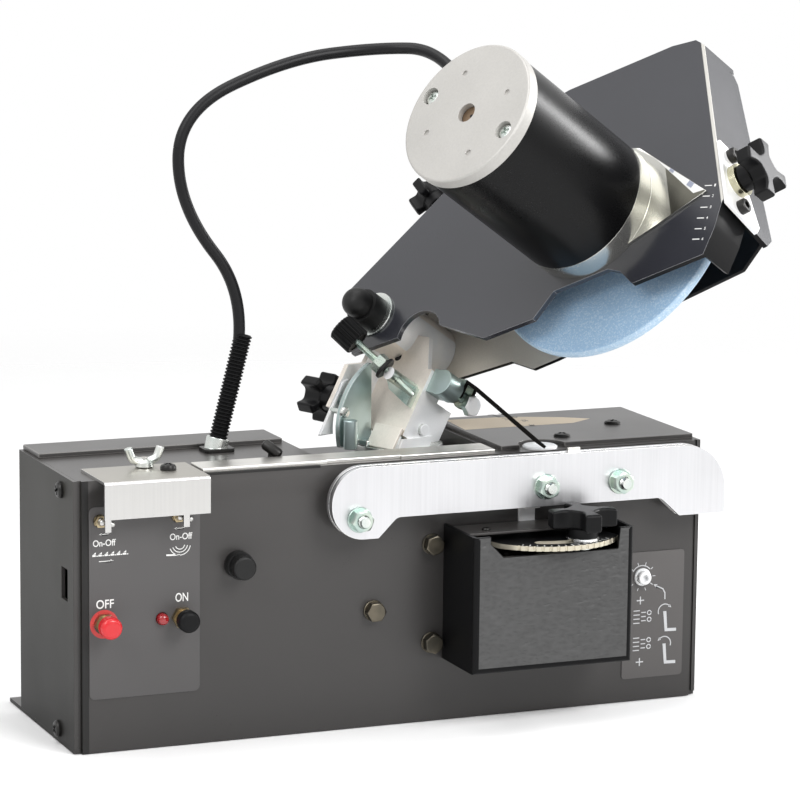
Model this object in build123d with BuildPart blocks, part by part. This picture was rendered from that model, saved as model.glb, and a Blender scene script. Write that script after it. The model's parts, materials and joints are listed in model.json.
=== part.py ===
"""Bench chain sharpener: a sheet-metal case with a chain guide on its front and a grinding head that
turns, leans and swings on a column. The origin is the middle of the case's underside, X runs along the
chain guide, Y to the back and Z up. All sizes are millimetres."""

import os
from math import cos, pi, radians, sin, sqrt, tan

from build123d import *

os.makedirs("parts", exist_ok=True)

# Fits
running = 0.05
clearance = 0.3

# Case
case_length = 340
case_depth = 90
case_height = 136
sheet = 2
front_proud = 1
front_inset = 4
return_flange = 12
rear_flange = 20
mount_spacing = 280
mount_hole = 9

# Saddle in the deck, where the column stands
saddle_left = -35
saddle_right = 56
saddle_front = -24
saddle_depth = 9

# Covers, strip and small fittings on the deck
cover_rise = 2.5
cover_sheet = 1.5
left_cover_front = 18
right_cover_front = -40
strip_from_left = 67
strip_right = 54
strip_width = 18
strip_height = 2
peg_slot_length = 50
peg_x = -58
peg_behind_strip = 5.5
peg_size = 4

# Controls on the front panel
overlay_width = 57
overlay_height = 96
overlay_thickness = 0.6
overlay_from_left = 36
overlay_from_top = 61
stop_from_left = 15
start_from_left = 55
lamp_from_left = 44.8
button_z = 65
button_stem = 5
button_cap = 11
button_travel = 2.5
switch_from_top = 20
left_switch_from_left = 13
right_switch_from_left = 53
lever_diameter = 2.8
lever_length = 8.5
lever_rest = 26
plate_width = 35
plate_height = 67
plate_from_right = 26
plate_z = 45.5
bumper_from_left = 84.3
bumper_z = 89.3
adjuster_from_right = 33
adjuster_z = 66

# Angle plate over the switches
angle_width = 54
angle_from_left = 38.3
angle_proud = 14
angle_behind = 24
angle_drop = 17
angle_sheet = 1.5
tab_width = 3
tab_drop = 6
wing_from_left = 42
wing_behind = 18
wing_stud = 4

# Chain guide
guide_left = -42
guide_overhang = 6
guide_rise = 1
guide_narrow = 26.5
guide_wide = 36.5
guide_left_step = 35
guide_right_step = 37
guide_corner = 24
guide_plate = 3
chain_groove = 1.6
guide_standoff = 8.4
stud_diameter = 6

# Feed housing, scale and drive
housing_left = 25
housing_right = 113
housing_front = -85
housing_height = 70
housing_below_guide = 8.5
feed_x = 76
feed_y = -52
feed_radius = 30
feed_rest = 20
feed_reach = 24
scale_radius = 40
scale_drop = 8.5
scale_thickness = 2.5
crank_x = 69.5
crank_drop = 31.5
crank_shaft = 8
gearmotor_width = 56
gearmotor_height = 60

# Head: turn, lean and lift of the arm as it stands
swivel_angle = 20
tilt_angle = 32
arm_raise = 34
swivel_x = 30
swivel_y = 26
tilt_rise = 13
arm_back = 10
arm_rise = 46
pivot_inset = 6.6
pivot_lift = 5.3
wheel_offset = 12.5

# Column
turntable_diameter = 46
turntable_thickness = 4
spindle_diameter = 12
tilt_pin = 6
lug_thickness = 5
ear_front = 15
ear_back = -20
ear_thickness = 3
quadrant_radius = 36.5
quadrant_thickness = 3
quadrant_back = -9
lock_radius = 28
lock_angle = 62
lock_stud = 6

# Arm
arm_length = 133
plate_face = 18
arm_sheet = 3
guard_back = -31
guard_sheet = 2.5
end_beyond = 76
pivot_diameter = 12
pointer_reach = 68

# Motor and wheel
can_diameter = 75
can_start = 29.5
can_end = 115.5
can_wall = 2
cap_end = 122
shaft_diameter = 10
wheel_diameter = 144
wheel_thickness = 5
wheel_bore = 22.3
wheel_flange = 36

# Cable
cable_diameter = 6
gland_along = 98
gland_length = 10.5
sleeve_diameter = 9.4
sleeve_root = 7.8
sleeve_bore = 6.6
sleeve_length = 54
rib_pitch = 1.8


# Positions that follow from the sizes above
left = -case_length / 2
right = case_length / 2
front = -case_depth / 2
back = case_depth / 2
face = front - front_proud
face_inside = face + sheet
deck_top = case_height
deck_under = deck_top - sheet
saddle_floor = deck_top - saddle_depth
rear_guide = face - guide_standoff
groove_back = rear_guide - guide_plate
groove_front = groove_back - chain_groove
guide_face = groove_front - guide_plate
stud_radius = stud_diameter / 2
strip_left = left + strip_from_left
strip_front = face_inside + 0.5
peg_y = strip_front + strip_width + peg_behind_strip
overlay_x = left + overlay_from_left
overlay_z = case_height - overlay_from_top
stop_x = left + stop_from_left
start_x = left + start_from_left
lamp_x = left + lamp_from_left
switch_z = case_height - switch_from_top
left_switch_x = left + left_switch_from_left
right_switch_x = left + right_switch_from_left
plate_x = right - plate_from_right
angle_x = left + angle_from_left
wing_x = left + wing_from_left
wing_y = face + wing_behind
angle_front = face - angle_proud
angle_back = face + angle_behind
guide_right = right + guide_overhang
guide_top = deck_top + guide_rise
guide_waist = guide_top - guide_narrow
guide_foot = guide_top - guide_wide
housing_top = guide_waist - housing_below_guide
housing_bottom = housing_top - housing_height
scale_z = housing_top - scale_drop
crank_z = scale_z - crank_drop
arm_end = arm_length + end_beyond
pivot_at = (-pivot_inset, pivot_lift)

head_x = Vector(sin(radians(swivel_angle)), -cos(radians(swivel_angle)), 0)
side = Vector(cos(radians(swivel_angle)), sin(radians(swivel_angle)), 0)
head_y = side * sin(radians(tilt_angle)) + Vector(0, 0, cos(radians(tilt_angle)))
head_z = Vector(0, 0, sin(radians(tilt_angle))) - side * cos(radians(tilt_angle))
arm_x = head_x * cos(radians(arm_raise)) + head_y * sin(radians(arm_raise))
arm_y = head_y * cos(radians(arm_raise)) - head_x * sin(radians(arm_raise))
tilt_centre = Vector(swivel_x, swivel_y, saddle_floor + tilt_rise)
arm_origin = tilt_centre - head_x * arm_back + head_y * arm_rise + head_z * wheel_offset
pivot_centre = arm_origin - arm_x * pivot_inset + arm_y * pivot_lift
wheel_centre = arm_origin + arm_x * arm_length


def front_plane(y):
    """Faces the front; sketch X is X and sketch Y is Z."""
    return Plane(origin=(0, y, 0), x_dir=(1, 0, 0), z_dir=(0, -1, 0))


def end_plane(x):
    """Faces the right end; sketch X is Y and sketch Y is Z."""
    return Plane(origin=(x, 0, 0), x_dir=(0, 1, 0), z_dir=(1, 0, 0))


def level(z):
    return Plane.XY.offset(z)


def turn_plane(z):
    """Level plane on the swivel axis; sketch X points away from the motor, sketch Y to the back."""
    return Plane(origin=(swivel_x, swivel_y, z), x_dir=side, z_dir=(0, 0, 1))


def turn_front(x):
    """Upright plane across the tilt axis; sketch X is sideways, sketch Y is up."""
    return Plane(origin=tilt_centre + head_x * x, x_dir=side, z_dir=head_x)


def lean_plane(w):
    """Parallel to the wheel, on the tilt axis; sketch X forward, sketch Y up the column."""
    return Plane(origin=tilt_centre + head_z * w, x_dir=head_x, z_dir=head_z)


def lean_front(x):
    """Across the tilt axis; sketch X up the column, sketch Y towards the motor."""
    return Plane(origin=tilt_centre + head_x * x, x_dir=head_y, z_dir=head_x)


def arm_plane(w):
    """Parallel to the wheel, under the arm's rear end; sketch X along the arm, sketch Y up."""
    return Plane(origin=arm_origin + head_z * w, x_dir=arm_x, z_dir=head_z)


def motor_plane(w):
    """Parallel to the wheel, on the motor's axis."""
    return Plane(origin=wheel_centre + head_z * w, x_dir=arm_x, z_dir=head_z)


def arm_end_plane(x):
    """Across the arm; sketch X up, sketch Y towards the motor."""
    return Plane(origin=arm_origin + arm_x * x, x_dir=arm_y, z_dir=arm_x)


def hexagon(across):
    return RegularPolygon(radius=across / sqrt(3), side_count=6)


def nearest(sketch, x, y):
    """The corner of a sketch closest to a point."""
    return sketch.vertices().sort_by_distance((x, y, 0))[0]


def save(part, name):
    part.label = name
    export_step(part, f"parts/{name}.step")


# Where things sit on the front panel
guide_middle = (guide_top + guide_waist) / 2 - 3
guide_studs_at = [(-27.4, guide_top - 26.3), (73.9, guide_middle), (115.5, guide_middle)]
bolts_at = [(-13, 60), (18.6, 92), (18.6, 41)]
bumper_at = (left + bumper_from_left, bumper_z)
adjuster_at = (right - adjuster_from_right, adjuster_z)
switches_at = [(left_switch_x, switch_z), (right_switch_x, switch_z)]
buttons_at = [(stop_x, button_z), (start_x, button_z)]
panel_screw_at = (right - 10, case_height - 14)
bush_radius = 4
switch_bush_radius = 3
lamp_radius = 2.9
bumper_stud = 4

# Where things sit on the deck
sleeve_foot = Vector(-78.3, 8, deck_top)
sleeve_knee = Vector(-58, 10, 212)
sleeve_axis = (sleeve_knee - sleeve_foot).normalized()
cover_screws_at = [(right - 70, -25), (right - 29, 0)]
deck_screw_radius = 2
angle_screw_at = (left + 51, face + 8)
end_screws_at = [(-25.5, case_height - 7.5), (-20, 7)]
left_flange = 4

# Case sheets
with BuildPart() as base_pan:
    with BuildSketch(level(0)):
        with Locations((0, (face_inside + back + rear_flange) / 2)):
            Rectangle(case_length, back + rear_flange - face_inside)
        with Locations((-mount_spacing / 2, back + rear_flange / 2), (mount_spacing / 2, back + rear_flange / 2)):
            Circle(mount_hole / 2, mode=Mode.SUBTRACT)
    extrude(amount=sheet)
save(base_pan.part, "base_pan")

with BuildPart() as front_panel:
    with BuildSketch(front_plane(face_inside)):
        with Locations((0, case_height / 2)):
            Rectangle(case_length - 2 * front_inset, case_height)
        with Locations(*guide_studs_at, *bolts_at):
            Circle(stud_radius + clearance, mode=Mode.SUBTRACT)
        with Locations(*buttons_at):
            Circle(bush_radius + clearance, mode=Mode.SUBTRACT)
        with Locations(*switches_at):
            Circle(switch_bush_radius + clearance, mode=Mode.SUBTRACT)
        with Locations((lamp_x, button_z)):
            Circle(lamp_radius + clearance, mode=Mode.SUBTRACT)
        with Locations(bumper_at, adjuster_at):
            Circle(bumper_stud / 2 + clearance, mode=Mode.SUBTRACT)
        with Locations(panel_screw_at):
            Circle(deck_screw_radius + clearance, mode=Mode.SUBTRACT)
        with Locations((crank_x, crank_z)):
            Circle(crank_shaft / 2 + 2 * clearance, mode=Mode.SUBTRACT)
    extrude(amount=sheet)
save(front_panel.part, "front_panel")

with BuildPart() as left_end_panel:
    with BuildSketch(end_plane(left)):
        with Locations((0, (case_height + sheet) / 2)):
            Rectangle(case_depth, case_height - sheet)
        with Locations((-30.5, 82.5)):
            Rectangle(10, 16, mode=Mode.SUBTRACT)
        with Locations(*end_screws_at):
            Circle(deck_screw_radius + clearance, mode=Mode.SUBTRACT)
    extrude(amount=sheet)
    with BuildSketch(front_plane(face_inside + sheet)):
        with Locations((left + sheet + left_flange / 2, (deck_under + sheet) / 2)):
            Rectangle(left_flange, deck_under - sheet)
    extrude(amount=sheet)
save(left_end_panel.part, "left_end_panel")

with BuildPart() as right_end_panel:
    with BuildSketch(end_plane(right - sheet)):
        with Locations((0, (case_height + sheet) / 2)):
            Rectangle(case_depth, case_height - sheet)
        with Locations(*end_screws_at):
            Circle(deck_screw_radius + clearance, mode=Mode.SUBTRACT)
    extrude(amount=sheet)
    with BuildSketch(front_plane(face_inside + sheet)):
        with Locations((right - sheet - return_flange / 2, (deck_under + sheet) / 2)):
            Rectangle(return_flange, deck_under - sheet)
        with Locations(panel_screw_at):
            Circle(deck_screw_radius + clearance, mode=Mode.SUBTRACT)
    extrude(amount=sheet)
save(right_end_panel.part, "right_end_panel")

inlet_x = left + 60
inlet_z = 40
inlet_width = 28
inlet_height = 20
vent_x = 90
with BuildPart() as rear_panel:
    with BuildSketch(front_plane(back)):
        with Locations((0, (case_height + sheet) / 2)):
            Rectangle(case_length - 2 * sheet, case_height - sheet)
        with Locations(((saddle_left + saddle_right) / 2, deck_top)):
            Rectangle(saddle_right - saddle_left + 2 * sheet, 2 * (saddle_depth + sheet), mode=Mode.SUBTRACT)
        with Locations((inlet_x, inlet_z)):
            Rectangle(inlet_width, inlet_height, mode=Mode.SUBTRACT)
        with Locations((vent_x, 50)):
            with GridLocations(0, 10, 1, 4):
                SlotOverall(60, 4, mode=Mode.SUBTRACT)
    extrude(amount=sheet)
save(rear_panel.part, "rear_panel")

with BuildPart() as top_deck:
    with BuildSketch(level(deck_under)):
        with Locations((0, (face_inside + back - sheet) / 2)):
            Rectangle(case_length - 2 * sheet, back - sheet - face_inside)
        with Locations(((saddle_left + saddle_right) / 2, (saddle_front + back) / 2)):
            Rectangle(saddle_right - saddle_left, back - saddle_front, mode=Mode.SUBTRACT)
        with Locations((peg_x, peg_y)):
            SlotOverall(peg_slot_length, peg_size + 2 * clearance, mode=Mode.SUBTRACT)
        with Locations(*cover_screws_at, angle_screw_at):
            Circle(deck_screw_radius + clearance, mode=Mode.SUBTRACT)
        with Locations((sleeve_foot.X, sleeve_foot.Y)):
            Circle(sleeve_bore / 2 + 1, mode=Mode.SUBTRACT)
    extrude(amount=sheet)
    with BuildSketch(level(saddle_floor - sheet)):
        with Locations(((saddle_left + saddle_right) / 2, (saddle_front - sheet + back) / 2)):
            Rectangle(saddle_right - saddle_left + 2 * sheet, back - saddle_front + sheet)
        with Locations((swivel_x, swivel_y)):
            Circle(spindle_diameter / 2 + running, mode=Mode.SUBTRACT)
    extrude(amount=sheet)
    with BuildSketch(level(saddle_floor)):
        with Locations((saddle_left - sheet / 2, (saddle_front - sheet + back) / 2)):
            Rectangle(sheet, back - saddle_front + sheet)
        with Locations((saddle_right + sheet / 2, (saddle_front - sheet + back) / 2)):
            Rectangle(sheet, back - saddle_front + sheet)
        with Locations(((saddle_left + saddle_right) / 2, saddle_front - sheet / 2)):
            Rectangle(saddle_right - saddle_left + 2 * sheet, sheet)
    extrude(amount=saddle_depth)
save(top_deck.part, "top_deck")

left_cover_right = saddle_left - sheet - 1
with BuildPart() as left_cover:
    with BuildSketch(level(deck_top)):
        with Locations(((left + sheet + left_cover_right) / 2, (left_cover_front + back) / 2)):
            Rectangle(left_cover_right - left - sheet, back - left_cover_front)
    extrude(amount=cover_rise)
    with BuildSketch(level(deck_top)):
        with Locations(((left + sheet + left_cover_right) / 2, (left_cover_front + back) / 2)):
            Rectangle(
                left_cover_right - left - sheet - 2 * cover_sheet, back - left_cover_front - 2 * cover_sheet
            )
    extrude(amount=cover_rise - cover_sheet, mode=Mode.SUBTRACT)
save(left_cover.part, "left_cover")

right_cover_left = saddle_right + sheet + 1
right_cover_middle = ((right - sheet + right_cover_left) / 2, (right_cover_front + back) / 2)
notch_at = (82, -40)
notch_radius = 12.5
with BuildPart() as right_cover:
    with BuildSketch(level(deck_top)):
        with Locations(right_cover_middle):
            Rectangle(right - sheet - right_cover_left, back - right_cover_front)
        with Locations(notch_at):
            Circle(notch_radius, mode=Mode.SUBTRACT)
    extrude(amount=cover_rise)
    with BuildSketch(level(deck_top)):
        with Locations(right_cover_middle):
            Rectangle(
                right - sheet - right_cover_left - 2 * cover_sheet, back - right_cover_front - 2 * cover_sheet
            )
        with Locations(notch_at):
            Circle(notch_radius + cover_sheet, mode=Mode.SUBTRACT)
        with Locations(*cover_screws_at):
            Circle(deck_screw_radius + 3, mode=Mode.SUBTRACT)
    extrude(amount=cover_rise - cover_sheet, mode=Mode.SUBTRACT)
    with BuildSketch(level(deck_top)):
        with Locations(*cover_screws_at):
            Circle(deck_screw_radius + clearance)
    extrude(amount=cover_rise, mode=Mode.SUBTRACT)
save(right_cover.part, "right_cover")

strip_notch_x = -17.5
with BuildPart() as slide_strip:
    with BuildSketch(level(deck_top)):
        with Locations(((strip_left + strip_right) / 2, strip_front + strip_width / 2)):
            Rectangle(strip_right - strip_left, strip_width)
        with Locations((strip_notch_x, strip_front)):
            Rectangle(40, 3, mode=Mode.SUBTRACT)
    extrude(amount=strip_height)
    chamfer(slide_strip.edges().group_by(Axis.Z)[-1], 0.4)
save(slide_strip.part, "slide_strip")

with BuildPart() as slider_peg:
    with BuildSketch(level(deck_under - 6)):
        with Locations((peg_x, peg_y)):
            Rectangle(peg_size * 2, peg_size)
    extrude(amount=6 + sheet + 3)
    with BuildSketch(level(deck_top + 3)):
        with Locations((peg_x, peg_y)):
            SlotOverall(14, 6)
    extrude(amount=5)
    fillet(slider_peg.edges().group_by(Axis.Z)[-1], 1.5)
save(slider_peg.part, "slider_peg")

# Angle plate over the switches, with a welded stud for its wing nut
with BuildPart() as switch_angle:
    with BuildSketch(level(deck_top)):
        with Locations((angle_x, (angle_front + angle_back) / 2)):
            Rectangle(angle_width, angle_back - angle_front)
        with Locations(angle_screw_at):
            Circle(deck_screw_radius + clearance, mode=Mode.SUBTRACT)
    extrude(amount=angle_sheet)
    with BuildSketch(front_plane(angle_front + angle_sheet)):
        with Locations((angle_x, deck_top - angle_drop / 2)):
            Rectangle(angle_width, angle_drop)
        with Locations(
            (left_switch_x, deck_top - angle_drop - tab_drop / 2),
            (right_switch_x, deck_top - angle_drop - tab_drop / 2),
        ):
            Rectangle(tab_width, tab_drop)
    extrude(amount=angle_sheet)
    with BuildSketch(level(deck_top + angle_sheet)):
        with Locations((wing_x, wing_y)):
            Circle(wing_stud / 2)
    extrude(amount=5)
save(switch_angle.part, "switch_angle")

wing_bottom = deck_top + angle_sheet + clearance
with BuildPart() as wing_nut:
    with BuildSketch(level(wing_bottom)):
        with Locations((wing_x, wing_y)):
            Circle(4.5)
            Circle(wing_stud / 2 + running, mode=Mode.SUBTRACT)
    extrude(amount=4)
    for way in (-1, 1):
        with BuildSketch(front_plane(wing_y + 1.2)):
            Polygon(
                (wing_x + way * 3, wing_bottom + 1),
                (wing_x + way * 6, wing_bottom + 2),
                (wing_x + way * 8.8, wing_bottom + 7.5),
                (wing_x + way * 7.6, wing_bottom + 9.5),
                (wing_x + way * 5.2, wing_bottom + 8.5),
                (wing_x + way * 3, wing_bottom + 3.6),
                align=None,
            )
        extrude(amount=2.4)
save(wing_nut.part, "wing_nut")

# Controls
with BuildPart() as panel_plates:
    with BuildSketch(front_plane(face)):
        with Locations((overlay_x, overlay_z)):
            RectangleRounded(overlay_width, overlay_height, 3)
        with Locations((plate_x, plate_z)):
            RectangleRounded(plate_width, plate_height, 2)
        with Locations(*buttons_at):
            Circle(bush_radius + clearance, mode=Mode.SUBTRACT)
        with Locations(*switches_at):
            Circle(switch_bush_radius + clearance, mode=Mode.SUBTRACT)
        with Locations((lamp_x, button_z)):
            Circle(lamp_radius + clearance, mode=Mode.SUBTRACT)
        with Locations(adjuster_at):
            Circle(bumper_stud / 2 + clearance, mode=Mode.SUBTRACT)
    extrude(amount=overlay_thickness)
save(panel_plates.part, "panel_plates")

overlay_face = face - overlay_thickness
bush_front = overlay_face - 5
lever_pivot = overlay_face - 3
switch_front = overlay_face - 4.5
with BuildPart() as switch_bodies:
    with BuildSketch(front_plane(face_inside + 20)):
        with Locations(*buttons_at):
            Circle(5.5)
    extrude(amount=20)
    with BuildSketch(front_plane(face_inside)):
        with Locations(*buttons_at):
            Circle(bush_radius)
    extrude(amount=face_inside - bush_front)
    with BuildSketch(front_plane(overlay_face)):
        with Locations(*buttons_at):
            hexagon(9.5)
    extrude(amount=2.5)
    with BuildSketch(front_plane(face_inside + 10)):
        with Locations(*buttons_at):
            Circle(button_stem / 2 + running)
    extrude(amount=face_inside + 10 - bush_front, mode=Mode.SUBTRACT)
    with BuildSketch(front_plane(face_inside + 18)):
        with Locations(*switches_at):
            Rectangle(12, 13)
    extrude(amount=18)
    with BuildSketch(front_plane(face_inside)):
        with Locations(*switches_at):
            Circle(switch_bush_radius)
    extrude(amount=face_inside - switch_front)
    with BuildSketch(front_plane(overlay_face)):
        with Locations(*switches_at):
            hexagon(9)
    extrude(amount=2)
    with BuildSketch(front_plane(lever_pivot + 2.5)):
        with Locations(*switches_at):
            Circle(2.5)
    extrude(amount=lever_pivot + 2.5 - switch_front, mode=Mode.SUBTRACT)
save(switch_bodies.part, "switch_bodies")

cap_back = bush_front - button_travel - clearance
stem_back = face_inside + 10 - button_travel - clearance
with BuildPart() as stop_button:
    with BuildSketch(front_plane(cap_back)):
        with Locations((stop_x, button_z)):
            Circle(button_cap / 2)
    extrude(amount=6)
    fillet(stop_button.edges().group_by(Axis.Y)[0], 2.5)
    with BuildSketch(front_plane(stem_back)):
        with Locations((stop_x, button_z)):
            Circle(button_stem / 2)
    extrude(amount=stem_back - cap_back)
save(stop_button.part, "stop_button")

with BuildPart() as start_button:
    with BuildSketch(front_plane(cap_back)):
        with Locations((start_x, button_z)):
            Circle(button_cap / 2)
    extrude(amount=6)
    fillet(start_button.edges().group_by(Axis.Y)[0], 2.5)
    with BuildSketch(front_plane(stem_back)):
        with Locations((start_x, button_z)):
            Circle(button_stem / 2)
    extrude(amount=stem_back - cap_back)
save(start_button.part, "start_button")

with BuildPart() as indicator_lamp:
    with BuildSketch(front_plane(face_inside)):
        with Locations((lamp_x, button_z)):
            Circle(lamp_radius + 1)
    extrude(amount=-3)
    with BuildSketch(front_plane(face_inside)):
        with Locations((lamp_x, button_z)):
            Circle(lamp_radius)
    extrude(amount=face_inside - overlay_face + 4)
    fillet(indicator_lamp.edges().group_by(Axis.Y)[0], 2.4)
save(indicator_lamp.part, "indicator_lamp")

lever_way = Vector(sin(radians(lever_rest)), -cos(radians(lever_rest)), 0)
with BuildPart() as left_toggle_lever:
    with Locations((left_switch_x, lever_pivot, switch_z)):
        Sphere(2.1)
    with BuildSketch(Plane(origin=(left_switch_x, lever_pivot, switch_z), z_dir=lever_way)):
        Circle(lever_diameter / 2)
    extrude(amount=lever_length)
    fillet(left_toggle_lever.edges().group_by(Axis.Y)[0], 0.9)
save(left_toggle_lever.part, "left_toggle_lever")

with BuildPart() as right_toggle_lever:
    with Locations((right_switch_x, lever_pivot, switch_z)):
        Sphere(2.1)
    with BuildSketch(Plane(origin=(right_switch_x, lever_pivot, switch_z), z_dir=lever_way)):
        Circle(lever_diameter / 2)
    extrude(amount=lever_length)
    fillet(right_toggle_lever.edges().group_by(Axis.Y)[0], 0.9)
save(right_toggle_lever.part, "right_toggle_lever")

with BuildPart() as front_bumper:
    with BuildSketch(front_plane(face)):
        with Locations(bumper_at):
            Circle(7)
    extrude(amount=5)
    with BuildSketch(front_plane(face)):
        with Locations(bumper_at):
            Circle(6)
    extrude(amount=12)
    fillet(front_bumper.edges().group_by(Axis.Y)[0], 1.5)
    with BuildSketch(front_plane(face)):
        with Locations(bumper_at):
            Circle(bumper_stud / 2)
    extrude(amount=-8)
save(front_bumper.part, "front_bumper")

with BuildPart() as adjuster_screw:
    with BuildSketch(front_plane(overlay_face)):
        with Locations(adjuster_at):
            Circle(7)
    extrude(amount=1.5)
    with BuildSketch(front_plane(overlay_face - 1.5)):
        with Locations(adjuster_at):
            Circle(5)
    extrude(amount=4)
    with BuildSketch(front_plane(overlay_face - 2.5)):
        with Locations(adjuster_at):
            hexagon(4)
    extrude(amount=3, mode=Mode.SUBTRACT)
    with BuildSketch(front_plane(overlay_face)):
        with Locations(adjuster_at):
            Circle(bumper_stud / 2)
    extrude(amount=-12)
save(adjuster_screw.part, "adjuster_screw")

with BuildPart() as case_screws:
    with BuildSketch(front_plane(face)):
        with Locations(panel_screw_at):
            Circle(4)
    extrude(amount=2.2)
    with BuildSketch(front_plane(face)):
        with Locations(panel_screw_at):
            Circle(deck_screw_radius)
    extrude(amount=-8)
    with BuildSketch(end_plane(left)):
        with Locations(*end_screws_at):
            Circle(4.2)
    extrude(amount=-2.5)
    with BuildSketch(end_plane(left)):
        with Locations(*end_screws_at):
            Circle(deck_screw_radius)
    extrude(amount=8)
    with BuildSketch(end_plane(right)):
        with Locations(*end_screws_at):
            Circle(4.2)
    extrude(amount=2.5)
    with BuildSketch(end_plane(right)):
        with Locations(*end_screws_at):
            Circle(deck_screw_radius)
    extrude(amount=-8)
    with BuildSketch(level(deck_top + cover_rise)):
        with Locations(*cover_screws_at):
            Circle(4.3)
    extrude(amount=1.8)
    with BuildSketch(level(deck_top + cover_rise)):
        with Locations(*cover_screws_at):
            Circle(deck_screw_radius)
    extrude(amount=-10)
    with BuildSketch(level(deck_top + angle_sheet)):
        with Locations(angle_screw_at):
            Circle(4)
    extrude(amount=3)
    with BuildSketch(level(deck_top + angle_sheet)):
        with Locations(angle_screw_at):
            Circle(deck_screw_radius)
    extrude(amount=-9)
save(case_screws.part, "case_screws")

# Chain guide: two plates with a groove between them
guide_end = (guide_top - guide_foot) / 2
guide_outline = [
    (guide_left, guide_top),
    (guide_right, guide_top),
    (guide_right, guide_foot),
    (guide_right - 26, guide_foot),
    (guide_right - guide_right_step, guide_waist),
    (guide_left + guide_left_step, guide_waist),
    (guide_left + 25, guide_foot),
    (guide_left, guide_foot),
]
with BuildPart() as guide_front_plate:
    with BuildSketch(front_plane(groove_front)) as guide_front_shape:
        Polygon(*guide_outline, align=None)
        fillet(nearest(guide_front_shape, guide_right, guide_top), guide_corner)
        fillet(nearest(guide_front_shape, guide_left, guide_top), guide_end)
        fillet(nearest(guide_front_shape, guide_left, guide_foot), guide_end - 1)
        fillet(nearest(guide_front_shape, guide_right - guide_right_step, guide_waist), 5)
        fillet(nearest(guide_front_shape, guide_left + guide_left_step, guide_waist), 5)
        with Locations(*guide_studs_at):
            Circle(stud_radius + clearance, mode=Mode.SUBTRACT)
    extrude(amount=guide_plate)
save(guide_front_plate.part, "guide_front_plate")

with BuildPart() as guide_rear_plate:
    with BuildSketch(front_plane(rear_guide)) as guide_rear_shape:
        Polygon(*guide_outline, align=None)
        fillet(nearest(guide_rear_shape, guide_right, guide_top), guide_corner)
        fillet(nearest(guide_rear_shape, guide_left, guide_top), guide_end)
        fillet(nearest(guide_rear_shape, guide_left, guide_foot), guide_end - 1)
        fillet(nearest(guide_rear_shape, guide_right - guide_right_step, guide_waist), 5)
        fillet(nearest(guide_rear_shape, guide_left + guide_left_step, guide_waist), 5)
        with Locations(*guide_studs_at):
            Circle(stud_radius + clearance, mode=Mode.SUBTRACT)
    extrude(amount=guide_plate)
    with BuildSketch(front_plane(face)):
        with Locations(*guide_studs_at):
            Circle(6)
            Circle(stud_radius + clearance, mode=Mode.SUBTRACT)
    extrude(amount=guide_standoff)
    with BuildSketch(front_plane(groove_back)):
        with Locations(*guide_studs_at):
            Circle(6)
            Circle(stud_radius + clearance, mode=Mode.SUBTRACT)
    extrude(amount=chain_groove)
save(guide_rear_plate.part, "guide_rear_plate")

nut_height = 5
with BuildPart() as hex_bolts:
    with BuildSketch(front_plane(face)):
        with Locations(*bolts_at):
            Circle(5.4)
    extrude(amount=1.2)
    with BuildSketch(front_plane(face - 1.2)):
        with Locations(*bolts_at):
            hexagon(9)
    extrude(amount=4.5)
    with BuildSketch(front_plane(face)):
        with Locations(*bolts_at):
            Circle(stud_radius)
    extrude(amount=-12)
    with BuildSketch(front_plane(face_inside)):
        with Locations(*guide_studs_at):
            hexagon(10)
    extrude(amount=-4)
    with BuildSketch(front_plane(face_inside)):
        with Locations(*guide_studs_at):
            Circle(stud_radius)
    extrude(amount=face_inside - guide_face + nut_height + 4)
save(hex_bolts.part, "hex_bolts")

with BuildPart() as guide_nuts:
    with BuildSketch(front_plane(guide_face)):
        with Locations(*guide_studs_at):
            Circle(6.5)
    extrude(amount=1.2)
    with BuildSketch(front_plane(guide_face - 1.2)):
        with Locations(*guide_studs_at):
            hexagon(10)
    extrude(amount=nut_height)
    with BuildSketch(front_plane(guide_face)):
        with Locations(*guide_studs_at):
            Circle(stud_radius + running)
    extrude(amount=nut_height + 1.2, mode=Mode.SUBTRACT)
save(guide_nuts.part, "guide_nuts")

# Feed housing with its scale, clamp lever, knob and drive
housing_middle = (housing_left + housing_right) / 2
housing_width = housing_right - housing_left
with BuildPart() as feed_housing:
    with BuildSketch(front_plane(face)):
        with Locations((housing_middle, (housing_bottom + housing_top) / 2)):
            Rectangle(housing_width, housing_height)
    extrude(amount=face - housing_front)
    with BuildSketch(front_plane(face)):
        with Locations((housing_middle, housing_top)):
            Rectangle(housing_width - 2 * sheet, 2 * (housing_height - sheet))
    extrude(amount=face - housing_front - sheet, mode=Mode.SUBTRACT)
    with BuildSketch(front_plane(housing_front + sheet)):
        Polygon(
            (housing_left + 9, housing_top),
            (housing_left + 9, scale_z + 5),
            (housing_left + 16, scale_z - 2.2),
            (housing_right - 9, scale_z - 2.2),
            (housing_right - 8, housing_top),
            align=None,
        )
    extrude(amount=sheet, mode=Mode.SUBTRACT)
save(feed_housing.part, "feed_housing")

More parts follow.
